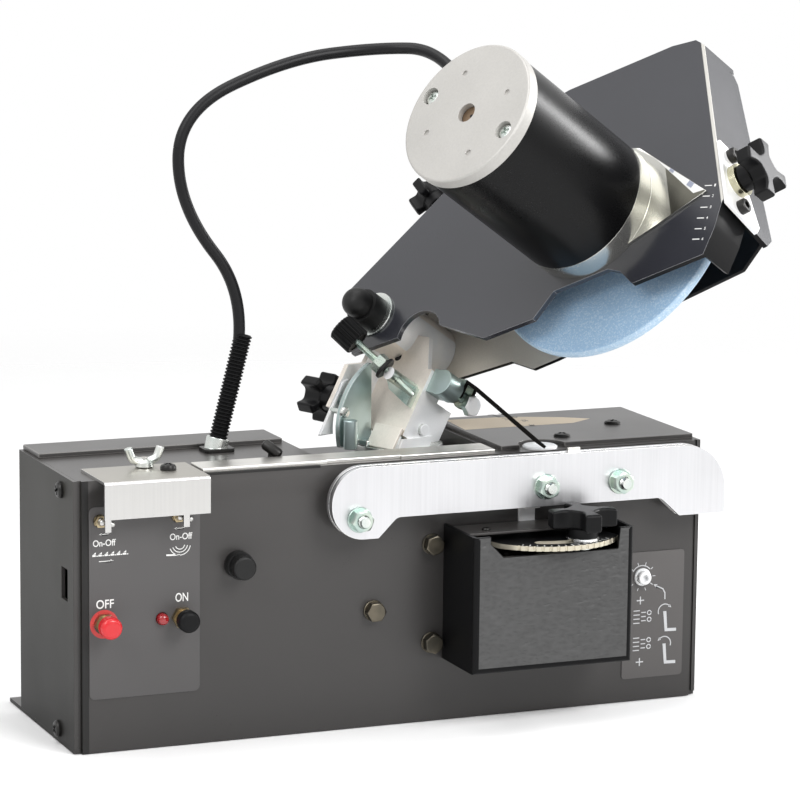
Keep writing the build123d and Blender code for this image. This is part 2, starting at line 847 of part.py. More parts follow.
scale_span = 56
feed_arc = CenterArc((feed_x, feed_y), feed_radius, 270 - feed_reach, 2 * feed_reach)
with BuildPart() as feed_scale:
    with BuildSketch(level(scale_z)):
        with BuildLine():
            scale_arc = CenterArc((feed_x, feed_y), scale_radius, 270 - scale_span, 2 * scale_span)
            Polyline(
                scale_arc @ 1,
                (housing_right - sheet - 4, feed_y - 14),
                (housing_right - sheet - 4, face),
                (housing_left + sheet + 14, face),
                (housing_left + sheet + 14, feed_y - 14),
                scale_arc @ 0,
            )
        make_face()
        SlotArc(feed_arc, 2 * (stud_radius + clearance), mode=Mode.SUBTRACT)
        with Locations((feed_x, feed_y)):
            with PolarLocations(scale_radius, 15, start_angle=230, angular_range=86):
                Circle(0.7, mode=Mode.SUBTRACT)
    extrude(amount=scale_thickness)
    with BuildSketch(level(scale_z)):
        with Locations((feed_x, feed_y)):
            Circle(stud_radius)
    extrude(amount=-6)
save(feed_scale.part, "feed_scale")

knob_x = feed_x + feed_radius * sin(radians(feed_rest))
knob_y = feed_y - feed_radius * cos(radians(feed_rest))
lever_top = scale_z - clearance
lever_thickness = 1.5
with BuildPart() as feed_lever:
    with BuildSketch(Plane(origin=(feed_x, feed_y, lever_top), x_dir=(knob_x - feed_x, knob_y - feed_y, 0))):
        with Locations((feed_radius / 2, 0)):
            SlotCenterToCenter(feed_radius, 10)
        Circle(stud_radius + running, mode=Mode.SUBTRACT)
    extrude(amount=-lever_thickness)
    with BuildSketch(level(lever_top)):
        with Locations((knob_x, knob_y)):
            Circle(stud_radius)
    extrude(amount=15)
save(feed_lever.part, "feed_lever")

knob_bottom = scale_z + scale_thickness + clearance
with BuildPart() as feed_knob:
    with BuildSketch(level(knob_bottom)):
        with Locations((knob_x, knob_y)):
            Circle(8)
    extrude(amount=5)
    with BuildSketch(level(knob_bottom + 5)):
        with Locations((knob_x, knob_y)):
            Circle(9.5)
            with PolarLocations(12.3, 4, start_angle=84):
                Circle(5)
    extrude(amount=12)
    fillet(feed_knob.edges().group_by(Axis.Z)[-1], 2)
    with BuildSketch(level(knob_bottom)):
        with Locations((knob_x, knob_y)):
            Circle(stud_radius + running)
    extrude(amount=13, mode=Mode.SUBTRACT)
save(feed_knob.part, "feed_knob")

with BuildPart() as feed_gearmotor:
    with BuildSketch(front_plane(face_inside + 40)):
        with Locations((crank_x, crank_z)):
            RectangleRounded(gearmotor_width, gearmotor_height, 4)
    extrude(amount=40)
    with BuildSketch(front_plane(face_inside + 40)):
        with Locations((crank_x, crank_z - 6)):
            Circle(18)
    extrude(amount=-38)
    with BuildSketch(front_plane(face_inside)):
        with Locations((crank_x, crank_z)):
            Circle(crank_shaft / 2 + running)
    extrude(amount=-14, mode=Mode.SUBTRACT)
save(feed_gearmotor.part, "feed_gearmotor")

with BuildPart() as feed_crank:
    with BuildSketch(front_plane(face_inside + 13)):
        with Locations((crank_x, crank_z)):
            Circle(crank_shaft / 2)
    extrude(amount=29)
    with BuildSketch(front_plane(face - 10)):
        with Locations((crank_x, crank_z)):
            Circle(18)
    extrude(amount=4)
    with BuildSketch(front_plane(face - 14)):
        with Locations((crank_x, crank_z + 12)):
            Circle(3)
    extrude(amount=8)
save(feed_crank.part, "feed_crank")

# Electrics inside the case
board_at = (12, case_height / 2 - 2)
board_depth = 50
board_height = 70
with BuildPart() as control_board:
    with BuildSketch(end_plane(left + sheet + 8)):
        with Locations(board_at):
            Rectangle(board_depth, board_height)
    extrude(amount=1.6)
    with BuildSketch(end_plane(left + sheet)):
        with Locations(board_at):
            with GridLocations(board_depth - 8, board_height - 8, 2, 2):
                Circle(3)
    extrude(amount=8)
    with BuildSketch(end_plane(left + sheet + 9.6)):
        with Locations((board_at[0] - 8, board_at[1] + 14)):
            Rectangle(18, 16)
        with Locations((board_at[0] + 10, board_at[1] - 12)):
            Rectangle(16, 28)
    extrude(amount=14)
save(control_board.part, "control_board")

with BuildPart() as power_inlet:
    with BuildSketch(front_plane(back + 3)):
        with Locations((inlet_x, inlet_z)):
            RectangleRounded(inlet_width + 8, inlet_height + 8, 3)
    extrude(amount=3)
    with BuildSketch(front_plane(back)):
        with Locations((inlet_x, inlet_z)):
            Rectangle(inlet_width - 2 * clearance, inlet_height - 2 * clearance)
    extrude(amount=26)
    with BuildSketch(front_plane(back + 3)):
        with Locations((inlet_x, inlet_z)):
            RectangleRounded(inlet_width - 4, inlet_height - 4, 2)
    extrude(amount=18, mode=Mode.SUBTRACT)
    with BuildSketch(front_plane(back - 15)):
        with Locations((inlet_x - 7, inlet_z - 2), (inlet_x, inlet_z + 2), (inlet_x + 7, inlet_z - 2)):
            Rectangle(2, 4)
    extrude(amount=8)
save(power_inlet.part, "power_inlet")

# Column: turntable with lugs and pins, quadrant, leaning yoke
turn_top = saddle_floor + turntable_thickness
lug_radius = 7.5
front_lug = ear_front - clearance
rear_lug = ear_back + ear_thickness + clearance
lug_height = tilt_rise - turntable_thickness
with BuildPart() as swivel_base:
    with BuildSketch(turn_plane(saddle_floor)):
        Circle(turntable_diameter / 2)
    extrude(amount=turntable_thickness)
    with BuildSketch(turn_plane(saddle_floor)):
        Circle(spindle_diameter / 2)
    extrude(amount=-sheet - 12)
    with BuildSketch(turn_front(front_lug)):
        Circle(lug_radius)
        with Locations((0, -lug_height / 2)):
            Rectangle(2 * lug_radius, lug_height)
    extrude(amount=-lug_thickness)
    with BuildSketch(turn_front(rear_lug)):
        Circle(lug_radius)
        with Locations((0, -lug_height / 2)):
            Rectangle(2 * lug_radius, lug_height)
    extrude(amount=lug_thickness)
    with BuildSketch(turn_front(front_lug)):
        Circle(tilt_pin / 2)
    extrude(amount=clearance + ear_thickness + 2)
    with BuildSketch(turn_front(rear_lug)):
        Circle(tilt_pin / 2)
    extrude(amount=-clearance - ear_thickness - 2)
save(swivel_base.part, "swivel_base")

quadrant_side = -14.5
lock_slot_start = 56
lock_slot_end = 90
lock_arc = CenterArc((0, 0), lock_radius, 90 + lock_slot_start, lock_slot_end - lock_slot_start)
with BuildPart() as tilt_quadrant:
    with BuildSketch(turn_front(quadrant_back)):
        Circle(quadrant_radius)
        with Locations((quadrant_side + 50, 0)):
            Rectangle(100, 100, mode=Mode.SUBTRACT)
        with Locations((0, -lug_height - 50)):
            Rectangle(100, 100, mode=Mode.SUBTRACT)
        SlotArc(lock_arc, lock_stud + 2 * clearance, mode=Mode.SUBTRACT)
    extrude(amount=quadrant_thickness)
    with BuildSketch(turn_plane(turn_top)):
        with Locations((quadrant_side - 4, -quadrant_back - quadrant_thickness - 3)):
            Rectangle(8, 6)
    extrude(amount=quadrant_thickness)
save(tilt_quadrant.part, "tilt_quadrant")

web_back = 8
web_thickness = 3
web_face = web_back + web_thickness
tube_radius = 16
tube_front = plate_face - arm_sheet + wheel_offset - clearance
tube_back = guard_back + wheel_offset + clearance
lock_u = lock_radius * cos(radians(lock_angle + tilt_angle))
lock_w = lock_radius * sin(radians(lock_angle + tilt_angle))
clevis_x = 25.5
clevis_u = 24.5
pivot_x = -arm_back - pivot_inset * cos(radians(arm_raise)) - pivot_lift * sin(radians(arm_raise))
pivot_u = arm_rise - pivot_inset * sin(radians(arm_raise)) + pivot_lift * cos(radians(arm_raise))
with BuildPart() as tilt_yoke:
    with BuildSketch(lean_front(ear_front)):
        Polygon(
            (-8.5, web_face),
            (-8.5, 0),
            (0, -14),
            (16, -14),
            (16, -2),
            (clevis_u + 5, -2),
            (clevis_u + 5, web_face),
            align=None,
        )
        Circle(tilt_pin / 2 + running, mode=Mode.SUBTRACT)
    extrude(amount=ear_thickness)
    with BuildSketch(lean_front(ear_back)):
        Polygon(
            (-8.5, 34),
            (-8.5, 0),
            (0, -14),
            (40, -12),
            (50, 0),
            (50, 22),
            (22, 24),
            (16, 34),
            align=None,
        )
        Circle(tilt_pin / 2 + running, mode=Mode.SUBTRACT)
        with Locations((lock_u, lock_w)):
            Circle(lock_stud / 2 + running, mode=Mode.SUBTRACT)
    extrude(amount=ear_thickness)
    with BuildSketch(lean_plane(web_back)):
        Polygon(
            (ear_back + ear_thickness, -8.5),
            (ear_front, -8.5),
            (ear_front, clevis_u + 5),
            (6, pivot_u),
            (ear_back + ear_thickness, pivot_u),
            align=None,
        )
        with Locations((-9.9, 33)):
            Circle(2, mode=Mode.SUBTRACT)
    extrude(amount=web_thickness)
    with BuildSketch(lean_plane(tube_back)):
        with Locations((pivot_x, pivot_u)):
            Circle(tube_radius)
    extrude(amount=tube_front - tube_back)
    with BuildSketch(lean_plane(tube_back)):
        with Locations((pivot_x, pivot_u)):
            Circle(pivot_diameter / 2 + running)
    extrude(amount=tube_front - tube_back, mode=Mode.SUBTRACT)
save(tilt_yoke.part, "tilt_yoke")

tilt_knob_radius = 13
lock_head = quadrant_back + quadrant_thickness + clearance
with BuildPart() as tilt_knob:
    with BuildSketch(lean_front(lock_head)):
        with Locations((lock_u, lock_w)):
            Circle(5.5)
    extrude(amount=3)
    with BuildSketch(lean_front(ear_back - 20)):
        with Locations((lock_u, lock_w)):
            Circle(lock_stud / 2)
    extrude(amount=lock_head - ear_back + 20)
    with BuildSketch(lean_front(ear_back - clearance)):
        with Locations((lock_u, lock_w)):
            Circle(7)
    extrude(amount=-6)
    with BuildSketch(lean_front(ear_back - clearance - 6)):
        with Locations((lock_u, lock_w)):
            Circle(8.5)
            with PolarLocations(tilt_knob_radius - 4, 5):
                Circle(4)
    extrude(amount=-13)
save(tilt_knob.part, "tilt_knob")

# Stop screw in a cross pin on the yoke
screw_diameter = 4
screw_length = 47
screw_knob = (-12.4, 28.3, 46)
screw_tip = (21.6, 11.4, 19)
screw_run = Vector(*screw_tip) - Vector(*screw_knob)
screw_way = (head_x * screw_run.X + head_y * screw_run.Y + head_z * screw_run.Z).normalized()
screw_start = tilt_centre + head_x * screw_knob[0] + head_y * screw_knob[1] + head_z * screw_knob[2]
screw_plane = Plane(origin=screw_start, x_dir=head_y, z_dir=screw_way)
pin_along = 32
pin_diameter = 7
pin_at = Vector(*screw_knob) + screw_run.normalized() * pin_along
with BuildPart() as stop_block:
    with BuildSketch(lean_plane(web_face)):
        Polygon((-6, 18), (3, 18.6), (15.5, 17.5), (15.5, 6.5), (-2, 13.5), align=None)
    extrude(amount=4)
    with BuildSketch(lean_plane(web_face)):
        with Locations((pin_at.X, pin_at.Y)):
            Circle(pin_diameter / 2)
    extrude(amount=pin_at.Z - web_face + 3.5)
    with BuildSketch(screw_plane):
        Circle(screw_diameter / 2 + running)
    extrude(amount=screw_length + 5, mode=Mode.SUBTRACT)
save(stop_block.part, "stop_block")

with BuildPart() as stop_screw:
    with BuildSketch(screw_plane):
        Circle(screw_diameter / 2)
    extrude(amount=screw_length)
    with BuildSketch(screw_plane.offset(-7)):
        Circle(7.5)
    extrude(amount=14)
    fillet(stop_screw.faces().sort_by(Axis(tuple(screw_start), tuple(screw_way)))[0].edges(), 1.5)
    with BuildSketch(screw_plane.offset(pin_along - 12)):
        hexagon(9)
    extrude(amount=5)
save(stop_screw.part, "stop_screw")

# Chain stop: bush and pin on the yoke, bent strip that flips up
clevis_front = web_face - 2
clevis_back = -2
finger_front = clevis_back - clearance
finger_back = finger_front - 9.5
clevis_pin = 6
with BuildPart() as stop_clevis:
    with BuildSketch(lean_plane(clevis_back)):
        with Locations((clevis_x, clevis_u)):
            Circle(7)
        with Locations(((ear_front + ear_thickness + clevis_x) / 2, clevis_u)):
            Rectangle(clevis_x - ear_front - ear_thickness, 13)
    extrude(amount=clevis_front - clevis_back)
    with BuildSketch(lean_plane(clevis_back)):
        with Locations((clevis_x, clevis_u)):
            Circle(clevis_pin / 2)
    extrude(amount=finger_back - clearance - clevis_back)
    with BuildSketch(lean_plane(finger_back - clearance)):
        with Locations((clevis_x, clevis_u)):
            hexagon(10)
    extrude(amount=-4)
save(stop_clevis.part, "stop_clevis")

finger_tip_x = 94
finger_tip_u = 6.5
finger_sheet = 1.5
with BuildPart() as stop_finger:
    with BuildSketch(lean_plane(finger_back)):
        Polygon(
            (clevis_x - 6, clevis_u + 6),
            (clevis_x + 5, clevis_u + 6),
            (finger_tip_x, finger_tip_u),
            (finger_tip_x + 0.6, finger_tip_u + finger_sheet),
            (clevis_x + 5.6, clevis_u + 6 + finger_sheet),
            (clevis_x - 6, clevis_u + 6 + finger_sheet),
            align=None,
        )
    extrude(amount=finger_front - finger_back)
    with BuildSketch(lean_plane(finger_back)):
        with Locations((clevis_x, clevis_u)):
            Circle(6)
        with Locations((clevis_x, clevis_u + 4)):
            Rectangle(12, 5)
        with Locations((clevis_x, clevis_u)):
            Circle(clevis_pin / 2 + running, mode=Mode.SUBTRACT)
    extrude(amount=2)
    with BuildSketch(lean_plane(finger_front)):
        with Locations((clevis_x, clevis_u)):
            Circle(6)
        with Locations((clevis_x, clevis_u + 4)):
            Rectangle(12, 5)
        with Locations((clevis_x, clevis_u)):
            Circle(clevis_pin / 2 + running, mode=Mode.SUBTRACT)
    extrude(amount=-2)
save(stop_finger.part, "stop_finger")

# Arm: folded front plate, guard plate behind the wheel, pivot bolt
plate_back = plate_face - arm_sheet
motor_opening = 14
arm_top = [
    (-21, 30),
    (42, 60),
    (90, 82),
    (arm_length - 6, 84),
    (arm_end - 18, 77),
    (arm_end - 4, 73),
    (arm_end, 68),
]
arm_bottom = [
    (arm_end, -31),
    (arm_end - 7, -46),
    (arm_end - 15, -58),
    (arm_length + 19, -54.5),
    (arm_length + 13, -44),
    (arm_length + 6, -39),
    (arm_length - 27, -36),
    (arm_length - 41, -46.5),
    (arm_length - 72, -43),
    (34, -21),
    (5, -16),
    (-23, -12),
]
arm_knob_foot = (34.6, 56.5)
arm_knob_w = 2
arm_knob_stud = 8
knob_lean = Vector(42 + 21, 60 - 30, 0).normalized()
arm_knob_way = arm_y * knob_lean.X - arm_x * knob_lean.Y
arm_knob_origin = (
    arm_origin + arm_x * arm_knob_foot[0] + arm_y * arm_knob_foot[1] + head_z * arm_knob_w
)
arm_knob_plane = Plane(origin=arm_knob_origin, x_dir=head_z, z_dir=arm_knob_way)
with BuildPart() as arm_plate:
    with BuildSketch(arm_plane(plate_back)):
        Polygon(*arm_top, *arm_bottom, align=None)
        with Locations((20.5, -21)):
            Circle(14, mode=Mode.SUBTRACT)
        with Locations(pivot_at):
            Circle(pivot_diameter / 2 + running, mode=Mode.SUBTRACT)
        with Locations((arm_length, 0)):
            Circle(motor_opening, mode=Mode.SUBTRACT)
    extrude(amount=arm_sheet)
    with BuildSketch(arm_end_plane(arm_end - guard_sheet)):
        Polygon(
            (68, plate_back),
            (64, -9),
            (60, -12),
            (-33, -25),
            (-39, -20),
            (-31, plate_back),
            align=None,
        )
    extrude(amount=guard_sheet)
    with BuildSketch(arm_plane(guard_back)):
        Polygon(
            *arm_top[:-2],
            *[(x, y - arm_sheet * 1.1) for x, y in reversed(arm_top[:-2])],
            align=None,
        )
    extrude(amount=plate_back - guard_back)
    with BuildSketch(arm_plane(-9)):
        Polygon(
            *arm_top[-3:],
            *[(x, y - arm_sheet * 1.1) for x, y in reversed(arm_top[-3:])],
            align=None,
        )
    extrude(amount=plate_back + 9)
    with BuildSketch(arm_plane(-4)):
        Polygon(
            *arm_bottom[:3],
            (arm_end - 17, -56),
            (arm_end - 9.2, -44.5),
            (arm_end - 2.5, -30),
            align=None,
        )
    extrude(amount=plate_back + 4)
    with BuildSketch(arm_knob_plane.offset(-8)):
        Circle(arm_knob_stud / 2 + running)
    extrude(amount=16, mode=Mode.SUBTRACT)
save(arm_plate.part, "arm_plate")

with BuildPart() as arm_guard:
    with BuildSketch(arm_plane(guard_back)):
        Polygon(
            *[(x, y - 1) for x, y in arm_top[:-2]],
            (arm_end - 10, -26),
            (arm_end - 22, -36),
            (arm_length - 61, -35),
            (arm_length - 76, -34),
            (44, -23),
            (-2, -15),
            (-23, -12),
            align=None,
        )
        with Locations(pivot_at):
            Circle(pivot_diameter / 2 + running, mode=Mode.SUBTRACT)
    extrude(amount=-guard_sheet)
save(arm_guard.part, "arm_guard")

washer_thickness = 1.5
bolt_back = guard_back - guard_sheet
cap_start = plate_face + washer_thickness
with BuildPart() as pivot_bolt:
    with BuildSketch(arm_plane(bolt_back)):
        with Locations(pivot_at):
            hexagon(19)
    extrude(amount=-6)
    with BuildSketch(arm_plane(bolt_back)):
        with Locations(pivot_at):
            Circle(pivot_diameter / 2)
    extrude(amount=cap_start + 7 - bolt_back)
    with BuildSketch(arm_plane(plate_face)):
        with Locations(pivot_at):
            Circle(12.5)
    extrude(amount=washer_thickness)
save(pivot_bolt.part, "pivot_bolt")

with BuildPart() as pivot_cap:
    with BuildSketch(arm_plane(cap_start)):
        with Locations(pivot_at):
            Circle(9.6)
    extrude(amount=9.5)
    with BuildSketch(arm_plane(cap_start)):
        with Locations(pivot_at):
            Circle(7.8)
    extrude(amount=20.5)
    fillet(pivot_cap.faces().sort_by(Axis(tuple(pivot_centre), tuple(head_z)))[-1].edges(), 7)
    with BuildSketch(arm_plane(cap_start)):
        with Locations(pivot_at):
            Circle(pivot_diameter / 2 + running)
    extrude(amount=8, mode=Mode.SUBTRACT)
save(pivot_cap.part, "pivot_cap")

with BuildPart() as arm_knob:
    with BuildSketch(arm_knob_plane.offset(-6)):
        Circle(arm_knob_stud / 2)
    extrude(amount=20)
    with BuildSketch(arm_knob_plane.offset(12)):
        Circle(7)
    extrude(amount=6)
    with BuildSketch(arm_knob_plane.offset(18)):
        Circle(8)
        with PolarLocations(8.5, 5):
            Circle(3.5)
    extrude(amount=12)
save(arm_knob.part, "arm_knob")

# Guard knob on its flanged boss at the arm's end
boss_y = -15.5
boss_w = 6.5
boss_plate = 2
boss_height = 4
boss_screws_at = [(boss_y + 14.5, boss_w + 2.5), (boss_y - 15.5, boss_w - 1)]
boss_screw_radius = 2.5
guard_stud = 8
guard_knob_turn = 0
boss_face = arm_end + boss_plate
with BuildPart() as guard_boss:
    with BuildSketch(arm_end_plane(arm_end)):
        Polygon((5, 17.5), (-34, 17.5), (-39, -8), (-34, -11), (3, 2), align=None)
    extrude(amount=boss_plate)
    with BuildSketch(arm_end_plane(boss_face)):
        with Locations((boss_y, boss_w)):
            Circle(8.5)
    extrude(amount=boss_height)
    with BuildSketch(arm_end_plane(arm_end)):
        with Locations((boss_y, boss_w)):
            Circle(guard_stud / 2 + running)
    extrude(amount=boss_plate + boss_height, mode=Mode.SUBTRACT)
    with BuildSketch(arm_end_plane(arm_end)):
        with Locations(*boss_screws_at):
            Circle(boss_screw_radius + running)
    extrude(amount=boss_plate, mode=Mode.SUBTRACT)
save(guard_boss.part, "guard_boss")

with BuildPart() as guard_knob:
    with BuildSketch(arm_end_plane(arm_end + 0.5)):
        with Locations((boss_y, boss_w)):
            Circle(guard_stud / 2)
    extrude(amount=boss_plate + boss_height + 4)
    with BuildSketch(arm_end_plane(boss_face + boss_height + clearance)):
        with Locations((boss_y, boss_w)):
            Circle(7)
    extrude(amount=6)
    with BuildSketch(arm_end_plane(boss_face + boss_height + clearance + 6)):
        with Locations((boss_y, boss_w)):
            Circle(8.5)
            with PolarLocations(11.5, 4, start_angle=guard_knob_turn):
                Circle(5)
    extrude(amount=9)
save(guard_knob.part, "guard_knob")

# Motor
can_radius = can_diameter / 2
shaft_radius = shaft_diameter / 2
gland_angle = 180 - 34 - arm_raise
gland_way = arm_x * cos(radians(gland_angle)) + arm_y * sin(radians(gland_angle))
gland_centre = wheel_centre + head_z * gland_along
gland_end = gland_centre + gland_way * (can_radius + gland_length)
with BuildPart() as motor_flange:
    with BuildSketch(motor_plane(plate_face)):
        Circle(can_radius)
    extrude(amount=can_start - plate_face)
    with BuildSketch(arm_plane(plate_face)):
        Polygon(
            (arm_length + 12, 34),
            (arm_length + 33, 23),
            (arm_length + pointer_reach, -23),
            (arm_length + 12, -33),
            (arm_length, 0),
            align=None,
        )
    extrude(amount=1.5)
    with BuildSketch(motor_plane(plate_face)):
        Circle(shaft_radius + running)
    extrude(amount=can_start - plate_face, mode=Mode.SUBTRACT)
save(motor_flange.part, "motor_flange")

with BuildPart() as motor_can:
    with BuildSketch(motor_plane(can_start)):
        Circle(can_radius)
    extrude(amount=can_end - can_start)
    with BuildSketch(Plane(origin=gland_centre + gland_way * (can_radius - 1.5), z_dir=gland_way)):
        Circle(7)
    extrude(amount=gland_length + 1.5)
    with BuildSketch(motor_plane(can_start)):
        Circle(can_radius - can_wall)
    extrude(amount=can_end - can_start, mode=Mode.SUBTRACT)
save(motor_can.part, "motor_can")

cap_radius = can_radius + 0.5
cap_screw_turn = 167 - arm_raise
cap_screws_at = 30
with BuildPart() as motor_end_cap:
    with BuildSketch(motor_plane(can_end)):
        Circle(cap_radius)
    extrude(amount=cap_end - can_end)
    motor_axis = Axis(tuple(wheel_centre), tuple(head_z))
    fillet(motor_end_cap.faces().sort_by(motor_axis)[-1].edges(), 1.2)
    with BuildSketch(motor_plane(can_end)):
        Circle(shaft_radius + running)
    extrude(amount=cap_end - can_end, mode=Mode.SUBTRACT)
    with BuildSketch(motor_plane(cap_end - 4)):
        with PolarLocations(cap_screws_at, 2, start_angle=cap_screw_turn):
            Circle(4.6)
    extrude(amount=4, mode=Mode.SUBTRACT)
    with BuildSketch(motor_plane(cap_end - 1)):
        with PolarLocations(24.5, 4, start_angle=32 - arm_raise):
            Circle(1.6)
    extrude(amount=1, mode=Mode.SUBTRACT)
save(motor_end_cap.part, "motor_end_cap")

with BuildPart() as arm_screws:
    with BuildSketch(motor_plane(cap_end - 4)):
        with PolarLocations(cap_screws_at, 2, start_angle=cap_screw_turn):
            Circle(4.2)
    extrude(amount=2.5)
    with BuildSketch(arm_end_plane(boss_face)):
        with Locations(*boss_screws_at):
            Circle(3.8)
    extrude(amount=4)
    with BuildSketch(arm_end_plane(boss_face)):
        with Locations(*boss_screws_at):
            Circle(boss_screw_radius)
    extrude(amount=-boss_plate)
save(arm_screws.part, "arm_screws")

stator_start = 46
stator_end = 90
with BuildPart() as motor_stator:
    with BuildSketch(motor_plane(stator_start)):
        Circle(can_radius - can_wall - running)
        Circle(20, mode=Mode.SUBTRACT)
        with PolarLocations(27, 2):
            Rectangle(8, 26, mode=Mode.SUBTRACT)
    extrude(amount=stator_end - stator_start)
save(motor_stator.part, "motor_stator")

with BuildPart() as rotor_shaft:
    with BuildSketch(motor_plane(-16)):
        Circle(shaft_radius)
    extrude(amount=cap_end - 3 + 16)
    with BuildSketch(motor_plane(stator_start)):
        Circle(19)
    extrude(amount=stator_end - stator_start)
    with BuildSketch(motor_plane(stator_end + 6)):
        Circle(11)
    extrude(amount=10)
save(rotor_shaft.part, "rotor_shaft")

# Wheel with its clamping flanges and nut
half_wheel = wheel_thickness / 2
with BuildPart() as grinding_wheel:
    with BuildSketch(motor_plane(-half_wheel)):
        Circle(wheel_diameter / 2)
        Circle(wheel_bore / 2, mode=Mode.SUBTRACT)
    extrude(amount=wheel_thickness)
    fillet(
        [e for e in grinding_wheel.edges().filter_by(GeomType.CIRCLE) if e.radius > wheel_bore],
        half_wheel - 0.5,
    )
save(grinding_wheel.part, "grinding_wheel")

flange_thickness = 4.5
with BuildPart() as wheel_flanges:
    with BuildSketch(motor_plane(half_wheel)):
        Circle(wheel_flange / 2)
        Circle(shaft_radius + running, mode=Mode.SUBTRACT)
    extrude(amount=flange_thickness)
    with BuildSketch(motor_plane(half_wheel)):
        Circle(wheel_bore / 2 - running)
        Circle(shaft_radius + running, mode=Mode.SUBTRACT)
    extrude(amount=-wheel_thickness + 0.5)
    with BuildSketch(motor_plane(-half_wheel)):
        Circle(wheel_flange / 2)
        Circle(shaft_radius + running, mode=Mode.SUBTRACT)
    extrude(amount=-flange_thickness)
    with BuildSketch(motor_plane(-half_wheel - flange_thickness)):
        hexagon(17)
        Circle(shaft_radius + running, mode=Mode.SUBTRACT)
    extrude(amount=-8)
save(wheel_flanges.part, "wheel_flanges")

# Ribbed sleeve, its clip on the deck, and the motor cable
sleeve_side = Vector(1, 0, 0) - sleeve_axis * sleeve_axis.X
clip_height = 7
sleeve_start = sleeve_foot + sleeve_axis * clip_height
rib_count = int(sleeve_length / rib_pitch)
with BuildPart() as cable_sleeve:
    for rib in range(rib_count):
        foot = rib * rib_pitch
        steps = [
            (foot, sleeve_root),
            (foot + 0.5, sleeve_diameter),
            (foot + 1.1, sleeve_diameter),
            (foot + 1.6, sleeve_root),
        ]
        for along, across in steps:
            with BuildSketch(Plane(sleeve_start + sleeve_axis * along, sleeve_side, sleeve_axis)):
                Circle(across / 2)
    loft(ruled=True)
    with BuildSketch(Plane(sleeve_start, sleeve_side, sleeve_axis)):
        Circle(sleeve_bore / 2)
    extrude(amount=sleeve_length, mode=Mode.SUBTRACT)
save(cable_sleeve.part, "cable_sleeve")

with BuildPart() as sleeve_clip:
    with BuildSketch(Plane(sleeve_foot - sleeve_axis * 2, sleeve_side, sleeve_axis)):
        Circle(5.8)
    extrude(amount=clip_height + 2)
    with BuildSketch(level(deck_top)):
        with Locations((sleeve_foot.X + 1, sleeve_foot.Y)):
            RectangleRounded(16, 12, 2)
    extrude(amount=2)
    with BuildSketch(level(deck_top - 6)):
        with Locations((sleeve_foot.X, sleeve_foot.Y)):
            Rectangle(60, 60)
    extrude(amount=6, mode=Mode.SUBTRACT)
    with BuildSketch(Plane(sleeve_foot - sleeve_axis * 4, sleeve_side, sleeve_axis)):
        Circle(sleeve_bore / 2)
    extrude(amount=clip_height + 6, mode=Mode.SUBTRACT)
save(sleeve_clip.part, "sleeve_clip")

cable_points = [
    gland_end,
    gland_end + gland_way * 31,
    Vector(11, 15, 341),
    Vector(-37, 17, 337),
    Vector(-97, 16, 310),
    Vector(-98, 15, 262),
    sleeve_knee,
    sleeve_knee - sleeve_axis * 40,
]
cable_radii = []
for before, here, after in zip(cable_points, cable_points[1:], cable_points[2:]):
    shorter = min((here - before).length, (after - here).length)
    turn = (here - before).get_angle(after - here)
    cable_radii.append(0.45 * shorter / tan(radians(turn / 2)))
    print("cable bend", round(turn, 1), "degrees, radius", round(cable_radii[-1], 1), "mm")
with BuildPart() as motor_cable:
    with BuildLine() as cable_line:
        FilletPolyline(*cable_points, radius=cable_radii)
    with BuildSketch(Plane(origin=gland_end, z_dir=gland_way)):
        Circle(cable_diameter / 2)
    sweep(path=cable_line.wire())
cable_length = cable_line.wire().length
print("cable length", round(cable_length, 1))
print("cable volume", motor_cable.part.volume, "of", pi * cable_diameter**2 / 4 * cable_length)
for point in cable_points:
    print("cable point", [round(v, 3) for v in point])
save(motor_cable.part, "motor_cable")
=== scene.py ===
"""Bench chain sharpener: finishes, softened edges, prints, small fittings and the motor cable."""

import json
from math import atan2, cos, degrees, radians, sin, sqrt

import bmesh
import bpy
from mathutils import Matrix, Vector

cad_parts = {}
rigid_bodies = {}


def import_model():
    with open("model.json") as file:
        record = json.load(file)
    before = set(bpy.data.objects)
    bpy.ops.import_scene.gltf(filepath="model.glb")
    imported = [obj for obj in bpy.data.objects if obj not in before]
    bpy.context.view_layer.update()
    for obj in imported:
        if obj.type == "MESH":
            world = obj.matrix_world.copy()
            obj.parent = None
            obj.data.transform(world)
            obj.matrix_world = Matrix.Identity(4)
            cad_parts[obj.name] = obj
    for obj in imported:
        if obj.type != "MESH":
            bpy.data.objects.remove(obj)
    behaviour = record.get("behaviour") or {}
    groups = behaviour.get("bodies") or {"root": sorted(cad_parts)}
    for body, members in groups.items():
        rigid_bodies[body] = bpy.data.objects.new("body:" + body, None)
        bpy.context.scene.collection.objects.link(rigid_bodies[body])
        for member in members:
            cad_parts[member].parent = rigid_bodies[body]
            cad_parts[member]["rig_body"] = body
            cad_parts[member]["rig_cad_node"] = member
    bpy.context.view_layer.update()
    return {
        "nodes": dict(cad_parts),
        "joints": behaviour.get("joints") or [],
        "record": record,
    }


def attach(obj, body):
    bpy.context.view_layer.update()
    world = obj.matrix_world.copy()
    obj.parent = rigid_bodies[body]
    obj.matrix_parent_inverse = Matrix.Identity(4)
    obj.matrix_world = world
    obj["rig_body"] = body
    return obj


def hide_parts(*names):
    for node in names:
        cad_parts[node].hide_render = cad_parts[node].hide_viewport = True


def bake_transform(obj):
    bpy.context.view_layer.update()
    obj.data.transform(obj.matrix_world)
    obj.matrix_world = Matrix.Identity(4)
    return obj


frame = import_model()
mm = 0.001
weld_distance = 1e-6

